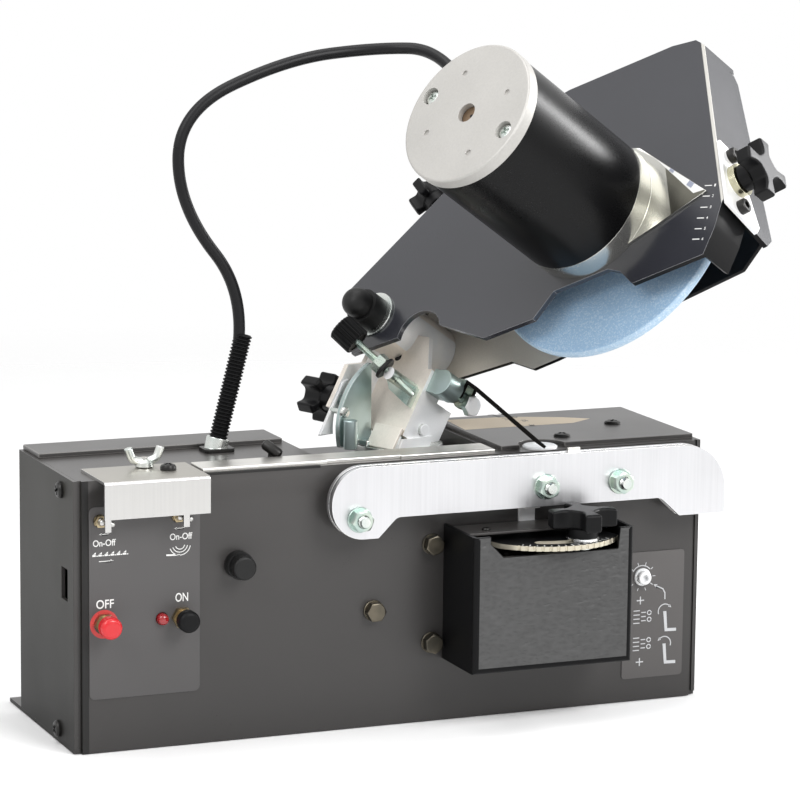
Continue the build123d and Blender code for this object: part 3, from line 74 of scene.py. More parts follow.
# Directions and centres of the head, read from its joints
joints = {joint["name"]: joint for joint in frame["joints"]}
motor_way = Vector(joints["arm_swing"]["axis"])
wheel_centre = Vector(joints["wheel_spin"]["pos_m"])
lean_centre = Vector(joints["head_tilt"]["pos_m"])
lean_along = Vector(joints["head_tilt"]["axis"])
lean_up = motor_way.cross(lean_along)
arm_raise, arm_reach = radians(34), 133
arm_along = lean_along * cos(arm_raise) + lean_up * sin(arm_raise)
arm_up = motor_way.cross(arm_along)
arm_root = wheel_centre - arm_along * arm_reach * mm
right_way, front_way, up_way = Vector((1, 0, 0)), Vector((0, -1, 0)), Vector((0, 0, 1))
turn_side = lean_along.cross(up_way) * -1
arm_ways = (arm_along, arm_up, motor_way)
lean_ways = (lean_along, lean_up, motor_way)
turn_ways = (turn_side, lean_along, up_way)


def placed(origin, across, facing):
    """A place in the object: local X runs across, local Z faces out."""
    place = Matrix((across, facing.cross(across), facing)).transposed().to_4x4()
    place.translation = origin
    return place


def aimed(origin, way):
    """A place that faces along a direction, with no set turn round it."""
    return placed(origin, way.orthogonal().normalized(), way)


def point(x, y, z):
    return Vector((x, y, z)) * mm


def raised(height):
    return Matrix.Translation((0, 0, height * mm))


def spun(angle):
    return Matrix.Rotation(radians(angle), 4, "Z")


def on_front(x, y, z):
    """On a plane that faces the front; local X is X and local Y is up."""
    return placed(point(x, y, z), right_way, front_way)


def on_level(x, y, z):
    return Matrix.Translation(point(x, y, z))


def seat(origin, ways, across, facing):
    """Places so many millimetres along three directions from an origin; two of them give local X and Z."""
    return lambda *steps: placed(
        origin + sum((way * step for way, step in zip(ways, steps)), Vector()) * mm, ways[across], ways[facing]
    )


# Steps along, up and out from the rear end of the arm, the wheel's centre and the axis that the column leans on
on_arm = seat(arm_root, arm_ways, 0, 2)
on_arm_end = seat(arm_root, arm_ways, 1, 0)
on_motor = seat(wheel_centre, arm_ways, 0, 2)
on_lean = seat(lean_centre, lean_ways, 0, 2)
# Steps sideways, forward and up on the turning part of the column
on_turntable = seat(lean_centre, turn_ways, 0, 1)


# Camera
def set_camera():
    azimuth, elevation, roll = radians(-22.73), radians(9.85), radians(0.62)
    target, distance = point(0.765, -45, 166.43), 1.801
    back = Vector((sin(azimuth) * cos(elevation), -cos(azimuth) * cos(elevation), sin(elevation)))
    level = Vector((cos(azimuth), sin(azimuth), 0))
    upright = back.cross(level)
    bpy.ops.object.camera_add()
    camera = bpy.context.object
    camera.matrix_world = placed(target + back * distance, level * cos(roll) + upright * sin(roll), back)
    camera.data.sensor_width = 36
    camera.data.lens = 162.27
    camera.data.clip_end = 50
    bpy.context.scene.camera = camera


# Working on one piece at a time
def alone(*pieces):
    bpy.ops.object.select_all(action="DESELECT")
    for piece in pieces:
        piece.select_set(True)
    bpy.context.view_layer.objects.active = pieces[0]


def named(piece, name):
    piece.name = piece.data.name = name
    return piece


def linked(piece):
    bpy.context.scene.collection.objects.link(piece)
    return piece


def begin(name, add_shape, **sizes):
    """Adds a starting shape by itself, at the origin."""
    bpy.ops.object.select_all(action="DESELECT")
    add_shape(**sizes)
    return named(bpy.context.object, name)


def edit(piece):
    """Opens a piece with all of it selected."""
    alone(piece)
    bpy.ops.object.mode_set(mode="EDIT")
    bpy.ops.mesh.select_all(action="SELECT")


def done():
    bpy.ops.object.mode_set(mode="OBJECT")


def pick(piece, kind, test):
    """Selects the faces, edges or corners that pass the test."""
    bpy.ops.mesh.select_mode(type=kind)
    bpy.ops.mesh.select_all(action="DESELECT")
    shape = bmesh.from_edit_mesh(piece.data)
    for element in {"FACE": shape.faces, "EDGE": shape.edges, "VERT": shape.verts}[kind]:
        element.select_set(test(element))
    bmesh.update_edit_mesh(piece.data)


def pick_faces(piece, test):
    """Selects the faces whose middle and normal pass the test."""
    pick(piece, "FACE", lambda face: test(face.calc_center_median(), face.normal))


def pick_edges(piece, test):
    """Selects the edges whose two ends both pass the test."""
    pick(piece, "EDGE", lambda edge: all(test(end.co) for end in edge.verts))


def widen(grow):
    bpy.ops.transform.resize(value=(grow, grow, 1))


def draw_out(step, grow=1):
    """Draws the selected faces out by a step in millimetres, then widens or narrows them."""
    bpy.ops.mesh.extrude_region_move(TRANSFORM_OT_translate={"value": [length * mm for length in step]})
    widen(grow)


def finish_with(piece, kind, **settings):
    """Adds a modifier with these settings and applies it."""
    alone(piece)
    modifier = piece.modifiers.new(kind.title(), kind)
    for setting, value in settings.items():
        setattr(modifier, setting, value)
    bpy.ops.object.modifier_apply(modifier=modifier.name)


def smooth(piece, angle=35):
    alone(piece)
    bpy.ops.object.shade_smooth_by_angle(angle=radians(angle))


def soften(piece, width, segments=2, angle=35, edge_slot=-1):
    finish_with(
        piece, "BEVEL", width=width * mm, segments=segments, limit_method="ANGLE",
        angle_limit=radians(angle), use_clamp_overlap=True, material=edge_slot, miter_outer="MITER_ARC",
    )
    smooth(piece)
    finish_with(piece, "WEIGHTED_NORMAL", keep_sharp=True)


def settle(piece, place):
    """Moves a piece to its place, which it keeps in its mesh."""
    piece.matrix_world = place
    alone(piece)
    bpy.ops.object.transform_apply(location=True, rotation=True, scale=True)


def copied(piece, name):
    copy = piece.copy()
    copy.data = piece.data.copy()
    return linked(named(copy, name))


def joined(name, *pieces):
    alone(*pieces)
    bpy.ops.object.join()
    return named(pieces[0], name)


def repeated(name, piece, places):
    """Copies of one piece at every place, joined; the pattern goes."""
    copies = [copied(piece, name) for place in places]
    for copy, place in zip(copies, places):
        settle(copy, place)
    bpy.data.objects.remove(piece)
    return joined(name, *copies)


def cut(piece, cutter, operation="DIFFERENCE"):
    finish_with(piece, "BOOLEAN", object=cutter, operation=operation, solver="EXACT")
    bpy.data.objects.remove(cutter)


def outward(piece):
    edit(piece)
    bpy.ops.mesh.remove_doubles(threshold=weld_distance)
    bpy.ops.mesh.normals_make_consistent(inside=False)
    done()


def split(piece, spot, way):
    """Draws a line across a piece, so that two finishes can meet there."""
    edit(piece)
    bpy.ops.mesh.bisect(plane_co=spot, plane_no=way)
    done()


finishes = {}


def coat(piece, *paints):
    piece.data.materials.clear()
    for paint in paints:
        piece.data.materials.append(finishes[paint])


def paint_faces(piece, test, slot=1):
    """Gives the faces whose middle and normal pass the test another of the piece's finishes."""
    for face in piece.data.polygons:
        if test(face.center, face.normal):
            face.material_index = slot
    return piece


def fit(piece, body, slot, *nodes):
    """The piece moves with a body and stands for these nodes, if any."""
    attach(piece, body)
    if nodes:
        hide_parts(*nodes)
    return piece


slot_of = {part["node"]: part["material_slot"] for part in frame["record"]["subparts"]}


def body_of(node):
    return frame["nodes"][node]["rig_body"]


def dress(piece, node):
    return fit(piece, body_of(node), slot_of[node], node)


def ready(piece, paint, place):
    coat(piece, paint)
    if place is not None:
        settle(piece, place)


def stand_in(piece, paint, node, place=None):
    """A piece in place of a solid."""
    ready(piece, paint, place)
    dress(piece, node)


def added(piece, paint, slot, place=None, body="case"):
    """A piece that only the scene has, on a body."""
    ready(piece, paint, place)
    fit(piece, body, slot)


def merged_copy(node, *paints):
    """A copy of a solid's mesh with whole faces in place of its loose triangles."""
    piece = copied(frame["nodes"][node], node + "_dressed")
    del piece["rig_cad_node"]
    del piece["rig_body"]
    piece.parent = None
    piece.matrix_world = Matrix.Identity(4)
    alone(piece)
    bpy.ops.mesh.customdata_custom_splitnormals_clear()
    edit(piece)
    bpy.ops.mesh.remove_doubles(threshold=weld_distance)
    bpy.ops.mesh.dissolve_limited(angle_limit=radians(0.4))
    done()
    coat(piece, *paints)
    return paint_faces(piece, lambda at, way: True, 0)


def edged(node, width, *paints, edge_slot=-1, segments=2, line=None, where=None):
    """A solid with its sharp edges softened; its second finish can lie along them, or where a test says."""
    piece = merged_copy(node, *paints)
    soften(piece, width, segments, edge_slot=edge_slot)
    if line:
        split(piece, *line)
    if where:
        paint_faces(piece, where)
    return dress(piece, node)


# Shapes that recur
def box(name, width, depth, height, edge=0):
    """A block standing on its place, drawn up from a square; its edges may be softened."""
    piece = begin(name, bpy.ops.mesh.primitive_plane_add, size=1)
    edit(piece)
    bpy.ops.transform.resize(value=(width * mm, depth * mm, 1))
    draw_out((0, 0, height))
    done()
    outward(piece)
    if edge:
        soften(piece, edge)
    return piece


def disc(name, sides, radius):
    return begin(name, bpy.ops.mesh.primitive_circle_add, vertices=sides, radius=radius * mm, fill_type="NGON")


def turned(name, outline, sides=40):
    """A turned piece: a disc drawn up through the (radius, height) steps of its outline."""
    (radius, height), *steps = outline
    piece = disc(name, sides, radius)
    edit(piece)
    bpy.ops.transform.translate(value=(0, 0, height * mm))
    for next_radius, next_height in steps:
        draw_out((0, 0, next_height - height), next_radius / radius)
        radius, height = next_radius, next_height
    done()
    outward(piece)
    smooth(piece, 30)
    return piece


def thread(root, crest, start, end, pitch):
    """The ridges of a thread, as steps of a turned outline."""
    turns = int((end - start) / pitch)
    steps = []
    for turn in range(turns):
        steps += [(root, start + turn * pitch), (crest, start + (turn + 0.5) * pitch)]
    return steps + [(root, start + turns * pitch)]


def prism(name, sides, radius, height, middle, turn=0):
    """An upright prism, half of it above and half below a height."""
    piece = begin(name, bpy.ops.mesh.primitive_cylinder_add, vertices=sides, radius=radius * mm, depth=height * mm)
    settle(piece, raised(middle) @ spun(turn))
    return piece


def hex_block(name, across, height, base=0):
    """A hexagon with the corners of its top turned off."""
    piece = prism(name, 6, across / sqrt(3), height, height / 2, 30)
    top, chamfer = across * 0.47, 0.3
    outline = [(top + (height + 1) * sqrt(3), -1), (top - chamfer, height + chamfer / sqrt(3))]
    cut(piece, turned("corner_cone", outline, 60), "INTERSECT")
    smooth(piece, 20)
    settle(piece, raised(base))
    return piece


def cross_head(name, radius, height):
    """A domed screw head with a cross cut into it."""
    piece = turned(name, [(radius, 0), (radius, height * 0.45), (radius * 0.86, height * 0.8), (radius * 0.5, height)])
    for turn in (0, 90):
        slot = box("cross_slot", radius * 1.15, radius * 0.3, height)
        settle(slot, raised(height * 0.45) @ spun(turn))
        cut(piece, slot)
    smooth(piece, 30)
    return piece


def socket_head(name, radius, height):
    """A cap screw head with a hexagon socket."""
    piece = turned(name, [(radius, 0), (radius, height - 0.5), (radius - 0.5, height)])
    cut(piece, prism("socket", 6, radius * 0.55, height, height))
    smooth(piece, 30)
    return piece


knob_neck = 6


def star_knob(name, arms, hub, reach, neck, thickness, *stud):
    """A moulded knob: flared arms drawn out of a hub on a round neck, with a stud below if one is given."""
    step = 180 / arms
    piece = prism(name, arms * 2, hub, thickness, knob_neck + thickness / 2)
    edit(piece)
    pick_faces(piece, lambda at, way: abs(way.z) < 0.1 and round(
        (degrees(atan2(way.y, way.x)) - 90 - step / 2) / step) % 2 == 0)
    near = hub * cos(radians(step / 2))
    half = near + (reach - near) * 0.45
    for rise in (half - near, 0.01):
        bpy.ops.mesh.extrude_faces_move(TRANSFORM_OT_shrink_fatten={"value": rise * mm})
    bpy.ops.transform.resize(value=(reach / half, reach / half, 0.92))
    done()
    outward(piece)
    soften(piece, min(1.4, thickness / 6), 3, 25)
    settle(piece, spun(-90 - step / 2))
    stem = [(neck - 0.4, 0), (neck, 0.4), (neck, knob_neck), (neck + 0.6, knob_neck + 0.6)]
    return joined(name, piece, *[turned(name + "_stem", outline) for outline in (stem, stud) if outline])


# Lines and prints: outlines drawn flat in millimetres, then made thin meshes
print_lift = 0.03


def lined(name, kind, lines, settings, **line_settings):
    """A curve through the points of each line."""
    curve = bpy.data.curves.new(name, "CURVE")
    for setting, value in settings.items():
        setattr(curve, setting, value)
    for line in lines:
        spline = curve.splines.new(kind)
        spline.points.add(len(line) - 1)
        for control, spot in zip(spline.points, line):
            control.co = Vector(spot).to_3d().to_4d()
        for setting, value in line_settings.items():
            setattr(spline, setting, value)
    return linked(bpy.data.objects.new(name, curve))


def meshed(piece):
    """Makes a curve or text a mesh."""
    name = piece.name
    alone(piece)
    bpy.ops.object.convert(target="MESH")
    return named(bpy.context.object, name)


def thin(piece, place):
    """Makes a flat curve or text a mesh that lies on its place."""
    piece = meshed(piece)
    settle(piece, place @ raised(print_lift) @ Matrix.Scale(mm, 4))
    outward(piece)
    return piece


def drawn(name, outlines, place):
    """Closed outlines, filled."""
    settings = {"dimensions": "2D", "fill_mode": "BOTH", "extrude": print_lift}
    return thin(lined(name, "POLY", outlines, settings, use_cyclic_u=True), place)


def lettered(words, width, height, x, y, place, turn=0):
    """Words or numbers of a given width and height round a point."""
    piece = begin("letters", bpy.ops.object.text_add)
    piece.data.body = words
    piece.data.align_x = piece.data.align_y = "CENTER"
    piece.data.extrude = print_lift
    piece.data.offset = 0.012
    bpy.context.view_layer.update()
    grow = Matrix.Diagonal((width / piece.dimensions.x, height / piece.dimensions.y, 1, 1))
    return thin(piece, place @ on_level(x, y, 0) @ spun(turn) @ grow)


def plate(name, outline, place, thickness, offset, edge=0):
    """A sheet cut to an outline."""
    piece = drawn(name, [outline], place)
    finish_with(piece, "SOLIDIFY", thickness=thickness * mm, offset=offset)
    if edge:
        soften(piece, edge)
    return piece


def polar(x, y, radius, angle):
    return x + radius * cos(radians(angle)), y + radius * sin(radians(angle))


def oblong(x, y, width, height, turn=0):
    c, s, i, j = cos(radians(turn)), sin(radians(turn)), width / 2, height / 2
    return [(x + a * c - b * s, y + a * s + b * c) for a, b in ((-i, -j), (i, -j), (i, j), (-i, j))]


def band(x, y, radius, width, start, end, steps=28):
    """A stretch of a ring, from one angle to another."""
    angles = [start + (end - start) * step / steps for step in range(steps + 1)]
    outer = [polar(x, y, radius + width / 2, angle) for angle in angles]
    return outer + [polar(x, y, radius - width / 2, angle) for angle in reversed(angles)]


def arrow_tip(x, y, size, turn):
    return [polar(x, y, size, turn + corner) for corner in (0, 130, 230)]


def plus_sign(x, y, size, width):
    a, b = size / 2, width / 2
    half = [(-a, -b), (-b, -b), (-b, -a), (b, -a), (b, -b), (a, -b)]
    return [(x + i, y + j) for i, j in half] + [(x - i, y - j) for i, j in half]


# Finishes
def add(tree, kind, inputs=None, **options):
    """Adds a node, sets its options, and sets or links its inputs."""
    node = tree.nodes.new("ShaderNode" + kind)
    for option, value in options.items():
        setattr(node, option, value)
    for name, value in (inputs or {}).items():
        if isinstance(value, bpy.types.NodeSocket):
            tree.links.new(value, node.inputs[name])
        else:
            node.inputs[name].default_value = value
    return node


def mixed(tree, factor, first, second, blend_type="MIX"):
    """The colour between two colours."""
    return add(tree, "Mix", {0: factor, 6: first, 7: second}, data_type="RGBA", blend_type=blend_type).outputs[2]


def sums(tree, operation, first, second):
    return add(tree, "Math", {0: first, 1: second}, operation=operation).outputs[0]


def spread(tree, value, low, high, to_low, to_high):
    """Carries a value from one range to another."""
    names = ("Value", "From Min", "From Max", "To Min", "To Max")
    return add(tree, "MapRange", dict(zip(names, (value, low, high, to_low, to_high)))).outputs[0]


def noise(tree, vector, scale, detail):
    return add(tree, "TexNoise", {"Vector": vector, "Scale": scale, "Detail": detail}).outputs


def toned(tree, colour, gain):
    """A colour made lighter or darker."""
    grey = add(tree, "CombineColor", {0: gain, 1: gain, 2: gain}).outputs[0]
    return mixed(tree, 1, colour, grey, "MULTIPLY")


def effect(name, inputs, outputs):
    """An empty node group with named sockets."""
    tree = bpy.data.node_groups.new(name, "ShaderNodeTree")
    kinds = {"Vector": "NodeSocketVector", "Colour": "NodeSocketColor", "Tint": "NodeSocketColor"}
    for side, sockets in (("INPUT", inputs), ("OUTPUT", outputs)):
        for socket in sockets.split():
            tree.interface.new_socket(socket, in_out=side, socket_type=kinds.get(socket, "NodeSocketFloat"))
    return tree, tree.nodes.new("NodeGroupInput").outputs, tree.nodes.new("NodeGroupOutput").inputs


def vary(tree, given, result, first, share, second):
    """Tone and gloss that follow two patterns, the first of them by its share."""
    both = sums(tree, "ADD", sums(tree, "MULTIPLY", first, share), sums(tree, "MULTIPLY", second, 1 - share))

    def around(middle, change):
        low, high = (sums(tree, operation, middle, change) for operation in ("SUBTRACT", "ADD"))
        return spread(tree, both, 0.3, 0.7, low, high)

    tree.links.new(toned(tree, given["Colour"], around(1, given["Shade"])), result["Colour"])
    tree.links.new(around(given["Roughness"], given["Spread"]), result["Roughness"])


def uneven_finish():
    """Cloudy shifts of tone and gloss, with a fine skin, as paint and moulded plastic have."""
    tree, given, result = effect(
        "Uneven Finish", "Vector Colour Shade Grain Roughness Spread", "Colour Roughness Height"
    )
    cloud = noise(tree, given["Vector"], 14, 4)["Fac"]
    skin = noise(tree, given["Vector"], given["Grain"], 3)["Fac"]
    vary(tree, given, result, cloud, 0.7, skin)
    tree.links.new(skin, result["Height"])
    return tree


def brush_lines():
    """Fine parallel lines along local Z of the vector, as brushed sheet has."""
    tree, given, result = effect("Brush Lines", "Vector Colour Shade Roughness Spread", "Colour Roughness Height")
    stretch = add(tree, "Mapping", {"Vector": given["Vector"], "Scale": (900, 900, 14)}).outputs[0]
    fine = noise(tree, stretch, 1, 3)["Fac"]
    broad = noise(tree, given["Vector"], 22, 2)["Fac"]
    vary(tree, given, result, fine, 0.6, broad)
    tree.links.new(fine, result["Height"])
    return tree


def plating_bloom():
    """Patches of another tint, as passivated zinc shows."""
    tree, given, result = effect("Plating Bloom", "Vector Colour Tint Scale Amount", "Colour")
    patch = noise(tree, given["Vector"], given["Scale"], 2)["Fac"]
    mask = sums(tree, "MULTIPLY", spread(tree, patch, 0.4, 0.62, 0, 1), given["Amount"])
    tree.links.new(mixed(tree, mask, given["Colour"], given["Tint"]), result["Colour"])
    return tree


def bonded_grit():
    """Packed grains of differing tone and height, as a grinding wheel has."""
    tree, given, result = effect("Bonded Grit", "Vector Colour Tint Scale", "Colour Height")
    grains = add(tree, "TexVoronoi", {"Vector": given["Vector"], "Scale": given["Scale"]})
    tone = add(tree, "SeparateColor", {0: grains.outputs["Color"]}).outputs[0]
    mask = spread(tree, tone, 0.55, 1, 0, 1)
    tree.links.new(mixed(tree, mask, given["Colour"], given["Tint"]), result["Colour"])
    tree.links.new(sums(tree, "SUBTRACT", 1, grains.outputs["Distance"]), result["Height"])
    return tree


def wrinkled_skin():
    """The crinkled skin of wrinkle paint, with painted shade in its hollows and a painted highlight on its crests."""
    tree, given, result = effect("Wrinkled Skin", "Vector Colour Scale", "Colour Height")
    warp = noise(tree, given["Vector"], 160, 2)["Color"]
    moved = add(tree, "VectorMath", {0: warp, 1: (0.004, 0.004, 0.004)}, operation="MULTIPLY").outputs[0]
    place = add(tree, "VectorMath", {0: given["Vector"], 1: moved}, operation="ADD").outputs[0]
    cells = add(tree, "TexVoronoi", {"Vector": place, "Scale": given["Scale"]}, feature="SMOOTH_F1")
    # Painted shade and highlight: darker where the skin is low, lighter where it is high.
    gain = spread(tree, cells.outputs["Distance"], 0.1, 0.7, 0.88, 1.12)
    tree.links.new(toned(tree, given["Colour"], gain), result["Colour"])
    tree.links.new(cells.outputs["Distance"], result["Height"])
    return tree


finish_group, brush_group, bloom_group = uneven_finish(), brush_lines(), plating_bloom()
grit_group, wrinkle_group = bonded_grit(), wrinkled_skin()
socket_names = {
    "shine": "Specular IOR Level", "metallic": "Metallic", "varnish": "Coat Weight", "roughness": "Roughness",
}


def shader_for(name, **values):
    """A new finish: its node tree, its shader and the place on the piece."""
    finishes[name] = bpy.data.materials.new(name)
    finishes[name].use_nodes = True
    tree = finishes[name].node_tree
    shader = tree.nodes["Principled BSDF"]
    for value_name, value in values.items():
        shader.inputs[socket_names[value_name]].default_value = value
    return tree, shader, add(tree, "TexCoord").outputs["Object"]


def use_group(tree, group, **inputs):
    return add(tree, "Group", inputs, node_tree=group).outputs


def unevened(tree, *values):
    """The uneven finish, given its place, colour, shade, grain, roughness and spread."""
    names = ("Vector", "Colour", "Shade", "Grain", "Roughness", "Spread")
    return use_group(tree, finish_group, **dict(zip(names, values)))


def lay(tree, shader, out, depth, colour=None, height=None):
    """Links a finish to its shader: colour, gloss and a relief of some depth."""
    relief = {"Height": height or out["Height"], "Strength": 1, "Distance": depth * mm}
    tree.links.new(colour or out["Colour"], shader.inputs["Base Color"])
    tree.links.new(out["Roughness"], shader.inputs["Roughness"])
    tree.links.new(add(tree, "Bump", relief).outputs[0], shader.inputs["Normal"])


def rgb(colour):
    """A colour as a screen shows it, 0 to 255, in linear light."""
    return tuple(((c / 255 + 0.055) / 1.055) ** 2.4 for c in colour) + (1,)


case_height = 0.136


def painted(name, colour, roughness, shade, grain, depth, fade=0, **values):
    """Powder coat, satin paint, moulded plastic and rubber; the case's sheets can take painted shade that darkens them
    towards the floor.
    """
    tree, shader, place = shader_for(name, **values)
    out = unevened(tree, place, rgb(colour), shade, grain, roughness, 0.05)
    tone = out["Colour"]
    # Painted shade: the colour grows darker towards the floor, in place of light that falls off lower down.
    if fade:
        height = add(tree, "SeparateXYZ", {0: place}).outputs["Z"]
        level = spread(tree, height, 0, case_height, 1 - fade, 1)
        tone = add(tree, "VectorMath", {0: tone, "Scale": level}, operation="SCALE").outputs[0]
    lay(tree, shader, out, depth, colour=tone)


def brushed(name, colour, roughness, turn, shade, depth, metallic):
    """Brushed metal, with its lines turned about Y from upright."""
    tree, shader, place = shader_for(name, metallic=metallic)
    lines = add(tree, "Mapping", {"Vector": place, "Rotation": (0, radians(turn), 0)}).outputs[0]
    out = use_group(
        tree, brush_group, Vector=lines, Colour=rgb(colour), Shade=shade, Roughness=roughness, Spread=0.07
    )
    lay(tree, shader, out, depth)


def plated(name, colour, tint, roughness, scale, metallic):
    """Zinc plating or a turned metal with patches of another tint."""
    tree, shader, place = shader_for(name, metallic=metallic)
    bloom = use_group(tree, bloom_group, Vector=place, Colour=rgb(colour), Tint=rgb(tint), Scale=scale, Amount=0.8)
    lay(tree, shader, unevened(tree, place, bloom["Colour"], 0.06, 1500, roughness, 0.08), 0.003)


def gritty(name, colour, tint):
    """Bonded abrasive."""
    tree, shader, place = shader_for(name)
    grit = use_group(tree, grit_group, Vector=place, Colour=rgb(colour), Tint=rgb(tint), Scale=1500)
    lay(tree, shader, unevened(tree, place, grit["Colour"], 0.06, 1200, 0.85, 0.08), 0.12, height=grit["Height"])


def wrinkled(name, colour, roughness, scale, depth):
    """Wrinkle paint."""
    tree, shader, place = shader_for(name, shine=0.25)
    flat = add(tree, "Mapping", {"Vector": place, "Scale": (0.7, 1, 1.5)}).outputs[0]
    skin = use_group(tree, wrinkle_group, Vector=flat, Colour=rgb(colour), Scale=scale)
    out = unevened(tree, place, skin["Colour"], 0.1, 700, roughness, 0.05)
    lay(tree, shader, out, depth, height=skin["Height"])


# Name, colour, roughness, shade, grain, depth and what else differs
for *row, others in [
    ("case_coat", (66, 64, 63), 0.32, 0.08, 1400, 0.012, {"fade": 0.35, "shine": 0.4}),
    # Painted shade: a darker copy of the case paint for the sheets' left-facing sides.
    ("side_coat", (47, 46, 43), 0.45, 0.08, 1400, 0.012, {"fade": 0.75, "shine": 0.15}),
    # Lighter edges: partly wear, partly a painted highlight along the softened edges.
    ("case_edge", (112, 110, 108), 0.34, 0.08, 1400, 0.01, {}),
    ("label_film", (84, 82, 82), 0.45, 0.05, 2600, 0.006, {"fade": 0.35}),
    ("plate_film", (94, 91, 90), 0.45, 0.05, 2600, 0.006, {"fade": 0.35}),
    ("print_white", (232, 232, 230), 0.5, 0.05, 900, 0.004, {}),
    ("print_grey", (196, 197, 199), 0.5, 0.05, 900, 0.004, {}),
    # Painted reflection: blue-grey for marks on the pointer.
    ("reflection_blue_grey", (150, 156, 174), 0.5, 0.08, 900, 0.004, {}),
    ("print_red", (196, 62, 62), 0.5, 0.08, 900, 0.004, {}),
    ("black_oxide", (34, 33, 32), 0.36, 0.15, 900, 0.02, {"metallic": 0.5}),
    ("red_plastic", (206, 38, 44), 0.24, 0.05, 2000, 0.004, {}),
    ("red_lens", (150, 16, 24), 0.12, 0.05, 900, 0.002, {"varnish": 0.6}),
    ("black_plastic", (15, 15, 16), 0.42, 0.12, 2200, 0.03, {"shine": 0.15}),
    # Painted highlight: a lighter copy of the black plastic for the guard knob's outer face.
    ("knob_face_highlight", (64, 64, 66), 0.5, 0.1, 2200, 0.03, {}),
    ("rubber", (20, 20, 20), 0.48, 0.15, 1600, 0.02, {"shine": 0.3}),
    ("satin_black", (14, 14, 15), 0.4, 0.12, 1200, 0.012, {"shine": 0.1}),
    ("spring_black", (26, 25, 24), 0.7, 0.12, 1200, 0.012, {"shine": 0}),
    # Painted reflection: a light warm grey for the black guard's inner face, in place of light it reflects.
    ("guard_grey", (226, 219, 207), 0.42, 0.1, 1200, 0.012, {}),
    ("arm_paint", (44, 45, 51), 0.22, 0.08, 1300, 0.006, {"shine": 0.9}),
    # Painted highlights: lighter colours on the arm plate's softened edges and its rounded fold.
    ("fold_highlight", (184, 182, 176), 0.36, 0.08, 1300, 0.01, {}),
    ("arm_edge_highlight", (160, 160, 164), 0.36, 0.08, 1300, 0.01, {}),
    ("motor_black", (5, 5, 6), 0.28, 0.1, 1600, 0.006, {"shine": 0.15}),
    ("cast_metal", (184, 182, 178), 0.48, 0.12, 900, 0.05, {"metallic": 0.35}),
    ("board_green", (38, 96, 60), 0.5, 0.08, 1500, 0.02, {}),
    ("cable_jacket", (14, 14, 16), 0.4, 0.1, 1800, 0.01, {"shine": 0.25}),
    ("scale_beige", (212, 196, 172), 0.5, 0.05, 1500, 0.004, {}),
    # Painted shade: near black for gaps, holes and recesses where shadow falls.
    ("hole_dark", (14, 13, 12), 0.7, 0.1, 900, 0.02, {}),
]:
    painted(*row, **others)

# Name, colour, roughness, turn of the lines, shade, depth and metallic part
for row in [
    ("bright_upright", (208, 208, 210), 0.36, 0, 0.06, 0.003, 1),
    ("angle_front", (196, 195, 193), 0.34, 0, 0.05, 0.003, 1),
    ("angle_top", (176, 173, 166), 0.4, 90, 0.06, 0.003, 1),
    ("bright_along", (226, 224, 219), 0.34, 90, 0.1, 0.006, 1),
    ("stainless", (240, 232, 222), 0.36, 32, 0.05, 0.006, 0.45),
]:
    brushed(*row)

# Name, colour, tint of the patches, roughness, scale of the patches and metallic part
for row in [
    ("bright_edge", (236, 235, 232), (225, 226, 228), 0.26, 90, 1),
    ("cream_edge", (196, 190, 172), (204, 196, 178), 0.4, 90, 0.6),
    ("galvanised", (244, 243, 242), (232, 234, 236), 0.42, 60, 0.15),
    ("zinc", (214, 216, 212), (196, 204, 200), 0.28, 90, 1),
    ("zinc_green", (190, 200, 190), (168, 188, 182), 0.3, 120, 1),
    ("zinc_blue", (178, 194, 194), (162, 178, 172), 0.34, 50, 0.8),
    ("olive_plate", (104, 98, 86), (70, 68, 62), 0.4, 90, 1),
    ("brass", (178, 164, 134), (150, 132, 100), 0.3, 90, 1),
    ("pale_brass", (206, 202, 178), (176, 172, 142), 0.26, 60, 1),
    ("pointer_metal", (126, 124, 114), (92, 91, 84), 0.2, 24, 1),
    ("flange_metal", (206, 205, 199), (178, 177, 168), 0.24, 24, 1),
    ("turned_steel", (204, 203, 200), (186, 186, 184), 0.3, 90, 1),
    ("bronze", (132, 112, 92), (104, 86, 70), 0.35, 90, 1),
    ("dark_iron", (110, 108, 106), (84, 84, 86), 0.45, 90, 1),
]:
    plated(*row)

gritty("wheel_side", (148, 180, 210), (178, 202, 222))
gritty("wheel_rim", (172, 198, 220), (202, 218, 232))
wrinkled("wrinkle_grey", (72, 72, 72), 0.36, 420, 0.45)


# Motor cable: one route through the points of the CAD tube, cut into three spans
cable_route = [
    (35.93, -36.19, 323.401),
    (35.772, -8.898, 338.101),
    (11, 15, 337.5),
    (-37, 17, 332.5),
    (-95, 16, 308),
    (-95.5, 15, 260),
    (-58, 10, 212),
    (-68.319, 8.983, 173.367),
]
cable_divisions = (0.065, 0.185)
cable_diameter = 6


def smooth_line(points):
    """Points read from a smooth line drawn through the route."""
    holder = lined(
        "smooth_line", "NURBS", [[Vector(spot) * mm for spot in points]], {"dimensions": "3D"},
        order_u=3, use_endpoint_u=True, resolution_u=20,
    )
    bpy.context.view_layer.update()
    line = bpy.data.meshes.new_from_object(holder)
    read = [vertex.co.copy() for vertex in line.vertices]
    bpy.data.objects.remove(holder)
    return read


def tube(name, line, diameter, paint):
    settings = {"dimensions": "3D", "bevel_depth": diameter / 2 * mm, "bevel_resolution": 6, "use_fill_caps": True}
    piece = meshed(lined(name, "POLY", [line], settings))
    outward(piece)
    coat(piece, paint)
    smooth(piece, 60)
    return piece


